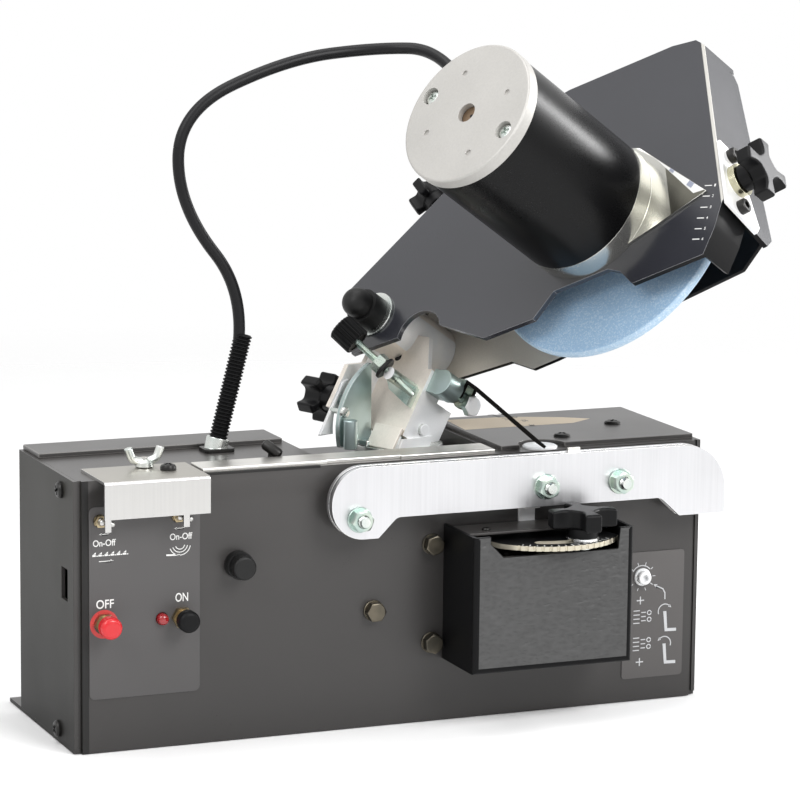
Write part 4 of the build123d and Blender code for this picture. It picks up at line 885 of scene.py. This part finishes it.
def motor_cable():
    line = smooth_line(cable_route)
    along = [0]
    for before, after in zip(line, line[1:]):
        along.append(along[-1] + (after - before).length)
    at = [
        min(range(len(line)), key=lambda i: abs(along[i] - reach)) for reach in (0, *cable_divisions, along[-1])
    ]
    spans = [
        ("cable_at_motor", "arm", "column"), ("cable_top", "column", "turntable"), ("cable_drop", "turntable", "case"),
    ]
    for (name, first, second), low, high in zip(spans, at, at[1:]):
        path = line[low:high + 1]
        piece = tube(name, path, cable_diameter, "cable_jacket")
        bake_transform(piece)
        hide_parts("motor_cable")


def cable_sleeve():
    """Ribbed sleeve: one rib drawn up from a ring, then repeated along the sleeve."""
    foot, knee = point(-78.3, 8, 136), point(-58, 10, 212)
    way = (knee - foot).normalized()
    inner, outer, ribs, pitch = 3.9, 4.7, 30, 1.8
    piece = begin("cable_sleeve_ribs", bpy.ops.mesh.primitive_circle_add, vertices=28, radius=inner * mm)
    edit(piece)
    for rise, grow in [(0.5, outer / inner), (0.3, 1), (0.3, 1), (0.5, inner / outer), (0.2, 1)]:
        bpy.ops.mesh.extrude_edges_move(TRANSFORM_OT_translate={"value": (0, 0, rise * mm)})
        widen(grow)
    done()
    finish_with(
        piece, "ARRAY", count=ribs, use_relative_offset=False, use_constant_offset=True,
        constant_offset_displace=(0, 0, pitch * mm), use_merge_vertices=True, merge_threshold=1e-5,
    )
    outward(piece)
    finish_with(piece, "SOLIDIFY", thickness=0.6 * mm, offset=-1)
    settle(piece, aimed(foot + way * 7 * mm, way))
    coat(piece, "black_plastic")
    smooth(piece, 30)
    fit(piece, "case", "black_plastic", "cable_sleeve")


# Case, covers and controls
def case_sheets():
    shadow_band_end = -0.1626
    for node in ("base_pan", "front_panel", "left_end_panel", "right_end_panel", "rear_panel", "top_deck"):
        # The sheets' left-facing sides take a darker copy of the paint, which is painted shade.
        sheet = edged(node, 0.5, "case_coat", "side_coat", "hole_dark", where=lambda at, way: way.x < -0.9)
        if node == "front_panel":
            # A painted shadow: the front panel's leftmost strip is near black, standing for the shaded gap at the
            # corner.
            split(sheet, (shadow_band_end, 0, 0), right_way)
            paint_faces(sheet, lambda at, way: at.x < shadow_band_end and way.y < -0.5, 2)
    for node in ("left_cover", "right_cover"):
        # The covers' softened edges take a lighter colour, partly wear and partly a painted highlight.
        edged(node, 0.5, "case_coat", "case_edge", edge_slot=1)
    edged("slide_strip", 0.2, "bright_along")
    edged("panel_plates", 0.2, "label_film", "plate_film", where=lambda at, way: at.x > 0)
    edged("power_inlet", 0.5, "black_plastic")
    # A painted shadow: a thin near-black strip under the slide strip's edge stands for the shaded gap there.
    added(box("deck_gap_shadow", 61, 1.2, 1.3, 0.2), "hole_dark", "black_screws", on_level(-72.5, -45.55, 134.9))
    stem = turned("peg_stem", [(2, 0), (2, 12.6)])
    settle(stem, on_level(-58, -20, 128))
    grip = turned("peg_grip", [(1.2, 0), (2.3, 0.5), (2.8, 1.6), (2.8, 9.4), (2.3, 10.5), (1.2, 11)])
    settle(grip, aimed(point(-61.35, -16.65, 143.5), Vector((0.6, -0.6, -0.5)).normalized()))
    stand_in(joined("slider_grip", stem, grip), "black_oxide", "slider_peg")


def switch_angle():
    piece = merged_copy("switch_angle", "angle_front", "bright_edge", "angle_top")
    edit(piece)
    pick_edges(piece, lambda end: abs(end.y + 0.06) < 1e-4 and abs(end.z - 0.1375) < 1e-4)
    bpy.ops.mesh.bevel(offset=1.6 * mm, segments=5)
    done()
    soften(piece, 0.25, edge_slot=1)
    paint_faces(piece, lambda at, way: way.z > 0.95, 2)
    dress(piece, "switch_angle")


toggles = {"left_toggle_lever": -157, "right_toggle_lever": -117}
toggle_level = 116
adjuster = (137, -46.5, 66)
front_print = on_front(0, -46.6, 0)


def controls():
    bodies = merged_copy("switch_bodies", "brass")
    edit(bodies)
    for x in toggles.values():
        middle = point(x, -47, toggle_level)
        pick_faces(bodies, lambda at, way: at.y < -0.0467 and max(abs(at.x - middle.x), abs(at.z - middle.z)) < 0.012)
        bpy.ops.transform.resize(value=(0.62, 1, 0.62), center_override=middle)
    done()
    soften(bodies, 0.25)
    dress(bodies, "switch_bodies")
    washer = turned("adjuster_washer", [(2.5, -12), (2.5, 0), (4.3, 0), (4.6, 0.3), (4.6, 1.2), (4.3, 1.5)])
    screw = joined("adjuster_socket_screw", washer, socket_head("adjuster_head", 3.6, 4.5))
    stand_in(screw, "galvanised", "adjuster_screw", on_front(*adjuster))
    wing_nut()
    for node, paint in [
        ("stop_button", "red_plastic"), ("start_button", "black_plastic"), ("indicator_lamp", "red_lens"),
        ("front_bumper", "rubber"), ("feed_gearmotor", "satin_black"), ("control_board", "board_green"),
        ("motor_stator", "dark_iron"), ("pivot_cap", "rubber"),
    ]:
        coat(frame["nodes"][node], paint)


def wing_nut():
    """A cast nut: a round boss and two thick wings bent up from it, drawn as one bow."""
    wing = [(8.4, 0, 9.6), (7.6, 0, 7), (6, 0, 3.4)]
    bow = smooth_line([*((-x, y, z) for x, y, z in wing), (0, 0, 2.3), *reversed(wing)])
    wings = tube("wing_nut_wings", bow, 4.2, "zinc")
    finish_with(wings, "REMESH", mode="VOXEL", voxel_size=0.3 * mm)
    smooth(wings, 60)
    boss = turned("wing_nut_boss", [(4.2, 0), (4.6, 0.3), (4.4, 2.4), (3.4, 3.6), (2.4, 3.8)])
    corners = [vertex.co for vertex in frame["nodes"]["wing_nut"].data.vertices]
    low, high = (Vector([limit(spot[i] for spot in corners) for i in range(3)]) for limit in (min, max))
    place = Matrix.Translation(((low.x + high.x) / 2, (low.y + high.y) / 2, low.z))
    stand_in(joined("wing_nut_cast", boss, wings), "zinc", "wing_nut", place)


def toggle_levers():
    """Switch levers that swell towards a round tip."""
    lean = radians(26)
    outline = [
        (1, -1.9), (1.7, -1.3), (2.1, 0), (1.7, 1.3), (0.95, 2), (1.1, 5.2),
        (1.35, 6), (1.4, 6.8), (1.4, 7.6), (1.1, 8.2), (0.6, 8.5),
    ]
    for node, x in toggles.items():
        place = placed(point(x, -49.6, toggle_level), up_way, Vector((sin(lean), -cos(lean), 0)))
        stand_in(turned(node + "_turned", outline, 24), "turned_steel", node, place)


def overlay_prints():
    """White marks, words and a red ring on the control plate."""
    marks = []
    for x, z in ((-154.6, 109.4), (-116, 109.7)):
        marks += [oblong(x, z, 4, 0.35), arrow_tip(x - 2, z, 0.8, 180), arrow_tip(x + 2, z, 0.8, 0)]
    for link in range(6):
        x, z = -160 + link * 3.1, 99
        marks += [oblong(x, z, 1.7, 0.9), [(x - 0.5, z + 0.7), (x + 0.9, z + 0.7), (x + 0.9, z + 1.7)]]
        marks += [oblong(x + 1.55, z - 0.2, 0.9, 0.45)]
    marks += [oblong(-154.5, 96, 6, 0.35), arrow_tip(-151, 96, 1, 0)]
    marks += [band(-115.9, 101.6, radius, 0.4, 200, 350) for radius in (2.4, 3.9, 5.4)]
    marks += [oblong(-119.5, 96.5, 7, 0.8, -2)]
    pieces = [drawn("marks", marks, front_print)]
    for words, width, height, x, z in [
        ("On-Off", 11.6, 3.3, -154.9, 104.9), ("On-Off", 11.6, 3.3, -115.5, 105.4),
        ("OFF", 9, 4.4, -154.5, 74.4), ("ON", 6.6, 4.4, -114.9, 74.8),
    ]:
        pieces.append(lettered(words, width, height, x, z, front_print))
    added(joined("control_marking", *pieces), "print_white", "label_grey")
    added(drawn("red_ring", [band(-155, 64.6, 6.2, 2, 0, 359)], front_print), "print_red", "label_grey")


def plate_prints():
    """Ring, signs and key marks round the adjuster."""
    x, _, z = adjuster
    marks = [oblong(*polar(x, z, 7, turn), 1.6, 0.4, turn) for turn in range(0, 360, 36)]
    marks += [band(x, z, 5.9, 0.5, 40, 150), plus_sign(136.5, 53.4, 4.2, 0.6), plus_sign(136.7, 20.6, 4.2, 0.6)]
    for top in (48, 33.5):
        marks += [oblong(134.5, top - drop, 3.6, 0.5) for drop in (0, 2.2, 4.4, 6.6)]
        marks += [oblong(138.5, top - drop, 2.6, 0.5) for drop in (1.1, 3.3, 5.5)]
        marks += [band(141.8, top - drop, 1.1, 0.5, 0, 350, 16) for drop in (1.4, 5)]
    key = [(149.9, 0), (151.7, 0), (152.4, -9.2), (157.6, -9.4), (157.6, -11), (151, -10.8)]
    for top, turn in ((46.6, 1), (29.3, -1)):
        tip = 90 - turn * 50
        marks += [[(x, top + rise) for x, rise in key], band(150.8, top, 3.8, 0.5, tip, 90 + turn * 110)]
        marks += [arrow_tip(*polar(150.8, top, 3.8, tip), 1.1, tip - turn * 80)]
    lead = [(145.3, 60.9), (149.6, 58.9), (150.9, 56.6), (151, 53)]
    lead += [(150.4, 53), (150.3, 56.4), (149.2, 58.4), (145.1, 60.4)]
    marks += [lead, arrow_tip(145, 60.8, 1.2, 152)]
    added(drawn("adjuster_marking", marks, front_print), "print_grey", "label_grey")


def deck_fittings():
    """Angle band, guide roller, chain blade and feed bracket on the deck and front."""
    outline = [(60, 8.4), (122, 8.4), (136, 17), (124, 25.6), (97, 36.5), (62, 38.4)]
    added(drawn("angle_band", [outline], on_level(0, 0, 138.5)), "scale_beige", "black_case")
    centre, marks = (30, 26), []
    for step in range(13):
        turn = -14 + step * 2.6
        marks.append(oblong(*polar(*centre, 64, turn), 4.5 if step % 3 == 0 else 2.6, 0.5, turn))
    above = on_level(0, 0, 138.56)
    numbers = [
        lettered(number, 4.2, 3, *polar(*centre, 70.5, turn), above, turn - 90)
        for number, turn in (("30", -14), ("15", -2.3), ("0", 7), ("15", 16))
    ]
    added(joined("angle_marking", drawn("marks", marks, above), *numbers), "black_oxide", "black_screws")

    roller = turned("guide_roller", [(9, 0), (9, 0.7), (8.2, 1.3), (3.4, 1.5), (3, 1.2), (2.6, 1.2)])
    added(roller, "galvanised", "zinc", on_level(82, -36.8, 136))
    added(box("chain_blade", 7, 1.5, 9, 0.3), "bright_along", "bright_sheet", on_level(91, -58.2, 130.2))

    height, sheet = 11, 1.5
    bracket = box("feed_bracket", 9, sheet, height)
    edit(bracket)
    pick_faces(bracket, lambda at, way: way.z > 0.9)
    draw_out((0, 0, sheet))
    pick_faces(bracket, lambda at, way: way.y < -0.9 and at.z > (height + 0.1) * mm)
    draw_out((0, -6, 0))
    done()
    soften(bracket, 0.3)
    added(bracket, "galvanised", "bright_sheet", on_level(70.5, -46.75, 97))


# Chain guide and fasteners
def guide():
    for node in ("guide_front_plate", "guide_rear_plate"):
        edged(node, 0.3, "bright_upright", "bright_edge", edge_slot=1)


panel_bolts = [(-13, 60), (18.6, 92), (18.6, 41)]
guide_studs = [(-27.4, 110.7), (73.9, 120.75), (115.5, 120.75)]


def on_panel(spots, y, first_turn, turn):
    """Places on the front, each turned a little further than the one before."""
    return [on_front(x, y, z) @ spun(first_turn + turn * number) for number, (x, z) in enumerate(spots)]


def bolts_and_nuts():
    """Panel bolts, guide studs and their nuts, each modelled once and copied."""
    washer = 1.2
    shank = turned("shank", [(3, -12), (3, 0), (5.4, 0), (5.4, 0.9), (5.1, washer)])
    bolt = joined("bolt", shank, hex_block("bolt_head", 9, 4.5, washer))
    stand_in(repeated("panel_bolts", bolt, on_panel(panel_bolts, -46, 0, 17)), "olive_plate", "hex_bolts")

    stud = turned("stud", [(2.7, -4), (3, -3.6), (3, 22)] + thread(2.7, 3, 22.2, 26.4, 0.7) + [(2.4, 27)], 28)
    inner = hex_block("inner_nut", 10, 4)
    settle(inner, Matrix.Rotation(radians(180), 4, "X"))
    stud = joined("stud", stud, inner)
    stand_in(repeated("guide_studs", stud, on_panel(guide_studs, -44, 0, 0)), "zinc", "hex_bolts")

    block = hex_block("nut_block", 10, 5, washer)
    nut = joined("nut", turned("nut_washer", [(6.3, 0), (6.5, 0.2), (6.5, 1), (6.3, washer)]), block)
    cut(nut, turned("nut_bore", [(3.05, -1), (3.05, 5.7), (3.8, 6.6)]))
    smooth(nut, 20)
    stand_in(repeated("guide_stud_nuts", nut, on_panel(guide_studs, -62, 8, 11)), "zinc_green", "guide_nuts")


def case_screw_heads():
    """Round black screws with crosses, on the ends, the cover and the angle plate."""
    groups = []
    for radius, height, spots in [
        (4.2, 2.5, [placed(point(side * 170, y, z), up_way, Vector((side, 0, 0)))
                    for side in (-1, 1) for y, z in ((-25.5, 128.5), (-20, 7))]),
        (4.3, 1.8, [on_level(100, -25, 138.5), on_level(141, 0, 138.5)]),
        (4, 3, [on_level(-119, -38, 137.5)]),
        (4, 2.2, [on_front(160, -46, 122)]),
    ]:
        shank = turned("screw_shank", [(2, -7), (2, 0.2)], 20)
        screw = joined("screw", cross_head("screw_head", radius, height), shank)
        groups.append(repeated("screws", screw, [spot @ spun(20 + 31 * turn) for turn, spot in enumerate(spots)]))
    stand_in(joined("case_screw_heads", *groups), "black_oxide", "case_screws")


# Feed
def feed():
    left, right, bottom, front = 0.025, 0.113, 0.032, -0.085
    housing = merged_copy("feed_housing", "satin_black", "wrinkle_grey")
    edit(housing)
    pick(housing, "EDGE", lambda edge: all(end.co.y < front + 1e-4 for end in edge.verts) and any(
        all(abs(end.co[axis] - at) < 1e-4 for end in edge.verts) for axis, at in ((0, left), (0, right), (2, bottom))))
    bpy.ops.mesh.bevel(offset=2.2 * mm, segments=4)
    done()
    soften(housing, 0.35)
    edit(housing)
    pick_faces(housing, lambda at, way: way.y < -0.99 and at.y < front + 1e-4)
    bpy.ops.mesh.inset(thickness=0.9 * mm)
    done()
    margin = 0.0033
    paint_faces(housing, lambda at, way: way.y < -0.97 and at.y < front + 5e-4 and (
        left + margin < at.x < right - margin and at.z > bottom + margin))
    dress(housing, "feed_housing")
    added(box("housing_lid", 84, 21, 1.4, 0.4), "case_coat", "black_case", on_level(69, -58.6, 99.4))
    added(cross_head("lid_screw", 2.2, 1.4), "black_oxide", "black_screws", on_level(41, -63, 100.8))
    edged("feed_scale", 0.3, "cream_edge", "satin_black", where=lambda at, way: abs(way.z) > 0.9)
    edged("feed_lever", 0.3, "zinc")
    x, y = 86.26, -80.19
    knob = star_knob("feed_star_knob", 4, 8.5, 17.2, 8, 10)
    stand_in(knob, "black_plastic", "feed_knob", on_level(x, y, 96.3) @ spun(84))
    edged("feed_crank", 0.4, "turned_steel")
    ring = turned("feed_knob_washer", [(8.2, 0.02), (8.4, 0.2), (8.4, 1.6), (8.1, 1.8)])
    added(ring, "bright_edge", "zinc", on_level(x, y, 96), body_of("feed_knob"))
    turns = [232 + step * 5.5 for step in range(15)]
    marks = [oblong(*polar(76, -52, 37.6, turn), 3.4 if step % 2 else 2, 0.5, turn) for step, turn in enumerate(turns)]
    added(drawn("feed_marking", marks, on_level(0, 0, 96)), "print_white", "bright_sheet")


# Column
def column():
    edged(
        "swivel_base", 0.4, "zinc", "galvanised",
        where=lambda at, way: (at - lean_centre).dot(lean_along) > 0.0175,
    )
    edged("tilt_quadrant", 0.4, "zinc_blue", "bright_edge", edge_slot=1)
    edged("tilt_yoke", 0.4, "stainless", "galvanised", where=lambda at, way: abs(way.dot(lean_along)) > 0.8)
    # A painted shadow: a near-black disc in the web's hole stands for the shade inside it.
    added(turned("web_hole_shadow", [(2.3, 0), (2.3, 0.5)]), "hole_dark", "black_screws", on_lean(-9.9, 33, 10.6), "column")
    place = placed(on_lean(8, -18.2, 12.8).translation, lean_along, lean_up)
    added(box("column_apron", 20, 1.5, 12.6, 0.3), "stainless", "stainless", place, "turntable")
    outline = [(-17, -8.8), (3, -8.8), (5, -4.5), (-14.3, -4.5)]
    foot = plate("front_foot", outline, on_turntable(0, 18.6, 0), 1.5, 1, 0.2)
    added(foot, "galvanised", "bright_sheet", body="turntable")
    edged(
        "stop_block", 0.5, "zinc_green", "galvanised",
        where=lambda at, way: way.dot(motor_way) > 0.7 and (at - lean_centre).dot(motor_way) > 0.03,
    )
    edged(
        "stop_clevis", 0.5, "zinc_blue", "galvanised",
        where=lambda at, way: (at - lean_centre).dot(motor_way) < -0.012,
    )
    lock = placed(on_lean(-2.7, -1.95, 27.93).translation, lean_up, lean_along * -1)
    stand_in(star_knob("tilt_star_knob", 5, 7.5, 13, 7, 13), "black_plastic", "tilt_knob", lock @ raised(17.6))
    stand_in(turned("tilt_lock_stud", [(3, 3.5), (3, 19)]), "zinc_blue", "tilt_knob", lock)
    edged(
        "stop_finger", 0.3, "spring_black", "zinc_green", line=(on_lean(31, 0, 0).translation, lean_along),
        where=lambda at, way: (at - lean_centre).dot(lean_along) < 0.0309,
    )
    bolt = hex_block("finger_bolt", 10, 3.6)
    settle(bolt, placed(on_lean(31.4, 21.2, -10.8).translation, lean_up, lean_along))
    coat(bolt, "zinc_green", "galvanised")
    paint_faces(bolt, lambda at, way: way.dot(lean_along) > 0.6)
    fit(bolt, body_of("stop_finger"), "zinc")
    edged("sleeve_clip", 0.4, "zinc", "black_oxide", where=lambda at, way: at.z < 0.1382)

    post = turned("quadrant_post", [(3.3, 0), (3.6, 0.3), (3.6, 14.6), (3.2, 15)])
    place = Matrix.Translation(on_turntable(-33, -0.9, -9).translation)
    added(post, "zinc_blue", "zinc", place, "turntable")
    arc = [polar(0, 0, 36.1, turn) for turn in range(114, 190, 5)]
    cover = plate("quadrant_cover", [*arc, (-14.7, -5.7)], on_turntable(0, -5.98, 0), 0.5, 1)
    added(cover, "zinc_blue", "zinc", body="turntable")
    arc = [polar(0, 0, 32.6, turn) for turn in range(130, 186, 5)]
    outline = [(-26.6, 25), *arc, (-32.4, -3.2), (-43, -3.2)]
    cheek = plate("rear_cheek", outline, on_turntable(0, -15.2, 0), 1.6, -1, 0.2)
    added(cheek, "galvanised", "bright_sheet", body="turntable")
    screw = turned("quadrant_screw", [(1.5, -10), (1.5, 0), (3, 0), (3, 1), (2.5, 1.7), (1.6, 1.9)])
    cut(screw, box("slot", 8, 0.7, 3))
    added(screw, "zinc", "zinc", on_turntable(-33.2, -6, 9.5) @ spun(40), "turntable")


def stop_screw():
    """Ribbed knob, threaded rod and nut of the stop screw."""
    way = (lean_along * 34 - lean_up * 16.9 - motor_way * 27).normalized()
    place = aimed(on_lean(-12.4, 28.3, 46).translation, way)

    corners, foot = 80, 0.86
    knob = disc("stop_screw_knob", corners, 7.5)
    edit(knob)
    pick(knob, "VERT", lambda corner: round(degrees(atan2(corner.co.y, corner.co.x)) / 360 * corners) % 4 in (0, 1))
    widen(0.9)
    bpy.ops.mesh.select_mode(type="FACE")
    bpy.ops.mesh.select_all(action="SELECT")
    bpy.ops.transform.translate(value=(0, 0, -7 * mm))
    widen(foot)
    for rise, grow in ((0.8, 1 / foot), (11.8, 1), (0.6, 0.93), (0, 0.8), (-0.5, 0.98)):
        draw_out((0, 0, rise), grow)
    done()
    outward(knob)
    smooth(knob, 30)
    stand_in(knob, "black_plastic", "stop_screw", place)

    rod = turned("stop_screw_thread", [(2, 5)] + thread(1.75, 2, 7, 46, 0.8) + [(1.4, 46.9)], 24)
    rod = joined("stop_screw_rod", rod, hex_block("stop_screw_nut", 9, 5, 20))
    stand_in(rod, "zinc_green", "stop_screw", place)
    ring = turned("stop_screw_ring", [(5.6, 25), (6.2, 25.4), (6.2, 26.6), (5.6, 27)])
    added(ring, "rubber", "black_plastic", place, body_of("stop_screw"))


# Head
def head():
    arm = merged_copy("arm_plate", "arm_paint", "arm_edge_highlight", "fold_highlight", "satin_black")
    face = 0.0175
    outer = [v.co for v in arm.data.vertices if (v.co - arm_root).dot(motor_way) > face]
    reach = max((spot - arm_root).dot(arm_along) for spot in outer) - 0.0004
    edit(arm)
    pick_edges(arm, lambda end: (end - arm_root).dot(motor_way) > face and (end - arm_root).dot(arm_along) > reach)
    # The rounded fold takes a lighter colour, a painted highlight.
    bpy.ops.mesh.bevel(offset=1.3 * mm, segments=4, material=2)
    done()
    # The softened edges take a lighter colour, painted highlights.
    soften(arm, 0.5, edge_slot=1)
    # Painted shade: the downward-facing faces at the far end are painted black.
    paint_faces(arm, lambda at, way: way.dot(arm_up) < -0.3 and way.dot(motor_way) < 0.3
                and (at - arm_root).dot(arm_along) > 0.17, 3)
    dress(arm, "arm_plate")
    # Painted reflection: the guard's inner face near the web is painted light warm grey.
    edged(
        "arm_guard", 0.4, "satin_black", "guard_grey", line=(on_arm(125, 0, 0).translation, arm_along),
        where=lambda at, way: way.dot(motor_way) > 0.9 and (at - arm_root).dot(arm_along) < 0.125,
    )
    edged("pivot_bolt", 0.5, "zinc")
    edged(
        "motor_flange", 0.4, "flange_metal", "pointer_metal", line=(on_motor(46.5, 0, 0).translation, arm_along),
        where=lambda at, way: way.dot(motor_way) > 0.95 and (at - wheel_centre).dot(arm_along) > 0.0465,
    )
    edged("motor_can", 0.6, "motor_black")
    edged("motor_end_cap", 0.35, "cast_metal")
    edged(
        "guard_boss", 0.7, "galvanised", "pale_brass", segments=3,
        where=lambda at, way: (at - arm_root).dot(arm_along) > 0.2113,
    )
    shaft = edged("rotor_shaft", 0.5, "bronze")
    tip = max((v.co - wheel_centre).dot(motor_way) for v in shaft.data.vertices) / mm
    # A painted shadow: a near-black dot stands for the shade in the shaft's centre hole.
    dot = turned("shaft_centre", [(0.9, -0.5), (0.9, 0.1), (0.5, 0.2)], 20)
    added(dot, "hole_dark", "steel", on_motor(0.7, -0.7, tip), body_of("rotor_shaft"))
    edged("wheel_flanges", 0.5, "turned_steel")
    knob = star_knob("guard_star_knob", 4, 7.6, 16.5, 7, 9, (3.8, -5.6), (4, -5.3), (4, 1))
    settle(knob, on_arm_end(215.3, -15.5, 6.5))
    coat(knob, "black_plastic", "knob_face_highlight")
    # Painted highlight: the knob's outward face is a lighter grey.
    paint_faces(knob, lambda at, way: way.dot(arm_along) > 0.9 and (at - arm_root).dot(arm_along) > 0.2295)
    dress(knob, "guard_knob")
    knob = star_knob("arm_star_knob", 5, 7, 12, 7, 12, (3.6, -18), (4, -17.6), (4, 2))
    way = (arm_up * 63 - arm_along * 30).normalized()
    place = placed(on_arm(34.6, 56.5, 2).translation + way * 12 * mm, motor_way, way)
    stand_in(knob, "black_plastic", "arm_knob", place)
    edged(
        "grinding_wheel", 0.4, "wheel_side", "wheel_rim",
        where=lambda at, way: abs(way.dot(motor_way)) < 0.9 and (at - wheel_centre).length > 0.05,
    )


def head_screws():
    """Cross-headed screws in the motor's end cap, socket screws on the boss."""
    places = [on_motor(*polar(0, 0, 30, turn), 118) for turn in (133, 313)]
    stand_in(repeated("cap_screws", cross_head("cap_screw", 4.2, 2.5), places), "zinc", "arm_screws")
    places = [on_arm_end(211, up, out) for up, out in ((-1, 9), (-31, 5.5))]
    stand_in(repeated("boss_screws", socket_head("boss_screw", 3.8, 4), places), "black_oxide", "arm_screws")


def arm_prints():
    """Depth marks with numbers on the arm, and a painted reflection on the pointer: a white streak and two blue-grey
    marks.
    """
    face = on_arm(0, 0, 18)
    spots = [(203.3, -20.2), (201.3, -25.8), (199.3, -31.7), (196.6, -37), (194.6, -42.6), (192.6, -48)]
    lean = -26
    pieces = [drawn("marks", [oblong(x - 1.5, y + 0.7, 4.4, 0.5, lean) for x, y in spots], face)]
    for number, (x, y) in enumerate(spots):
        pieces.append(lettered(str(number + 1), 0.9, 1.5, x + 2.2, y - 1.1, face, lean))
    added(joined("arm_marking", *pieces), "print_white", "arm_blue_grey", body="arm")
    # Painted reflection: a white streak along the pointer's top edge.
    glint_streak = drawn("pointer_glint_streak", [[(175, 10.6), (200, -22), (193.6, -20.8)]], on_arm(0, 0, 19.5))
    added(glint_streak, "print_white", "stainless", body="arm")
    # Painted reflection: two blue-grey marks on the pointer.
    marks = [oblong(183, -0.9, 3.4, 1.5, -53), oblong(192.6, -14.6, 4, 2.8, -53)]
    added(drawn("pointer_reflection_marks", marks, on_arm(0, 0, 19.56)), "reflection_blue_grey", "stainless", body="arm")


# Studio
def studio():
    floor = disc("floor", 96, 3000)
    floor.location.z = -0.0004
    tree, shader, place = shader_for("pale_floor", roughness=0.9)
    shader.inputs["Base Color"].default_value = (0.97, 0.97, 0.97, 1)
    away = add(tree, "VectorMath", {0: place}, operation="LENGTH").outputs["Value"]
    tree.links.new(spread(tree, away, 0.5, 1.3, 1, 0), shader.inputs["Alpha"])
    coat(floor, "pale_floor")

    world = bpy.data.worlds.new("studio")
    world.use_nodes = True
    tree = world.node_tree
    tree.nodes.clear()
    path = add(tree, "LightPath").outputs
    mirrored = sums(tree, "MAXIMUM", path["Is Glossy Ray"], path["Is Transmission Ray"])
    seen = sums(tree, "MAXIMUM", path["Is Camera Ray"], mirrored)
    soft, white = (add(tree, "Background", {"Color": (1, 1, 1, 1), "Strength": s}).outputs[0] for s in (0.4, 1))
    both = add(tree, "MixShader", {0: seen, 1: soft, 2: white}).outputs[0]
    add(tree, "OutputWorld", {"Surface": both})
    bpy.context.scene.world = world

    for name, spot, wide, high, power in [
        ("key", (0.55, -1.5, 1.25), 0.9, 0.9, 24),
        ("overhead", (-0.2, 0.15, 1.9), 1.3, 1.3, 14),
        ("left_fill", (-1.3, -0.5, 1.4), 1.0, 1.0, 14),
        ("right_strip", (1.45, -0.03, 0.6), 0.25, 0.8, 16),
    ]:
        bpy.ops.object.light_add(type="AREA", location=spot)
        lamp = bpy.context.object
        lamp.name = name
        lamp.data.shape = "RECTANGLE"
        lamp.data.size = wide
        lamp.data.size_y = high
        lamp.data.energy = power
        lamp.rotation_euler = (Vector((0, 0, 0.2)) - Vector(spot)).to_track_quat("-Z", "Y").to_euler()
    bpy.context.scene.view_settings.view_transform = "Standard"


for build in (
    set_camera, motor_cable, cable_sleeve, case_sheets, switch_angle, controls, toggle_levers, overlay_prints,
    plate_prints, deck_fittings, guide, bolts_and_nuts, case_screw_heads, feed, column, stop_screw, head,
    head_screws, arm_prints, studio,
):
    build()
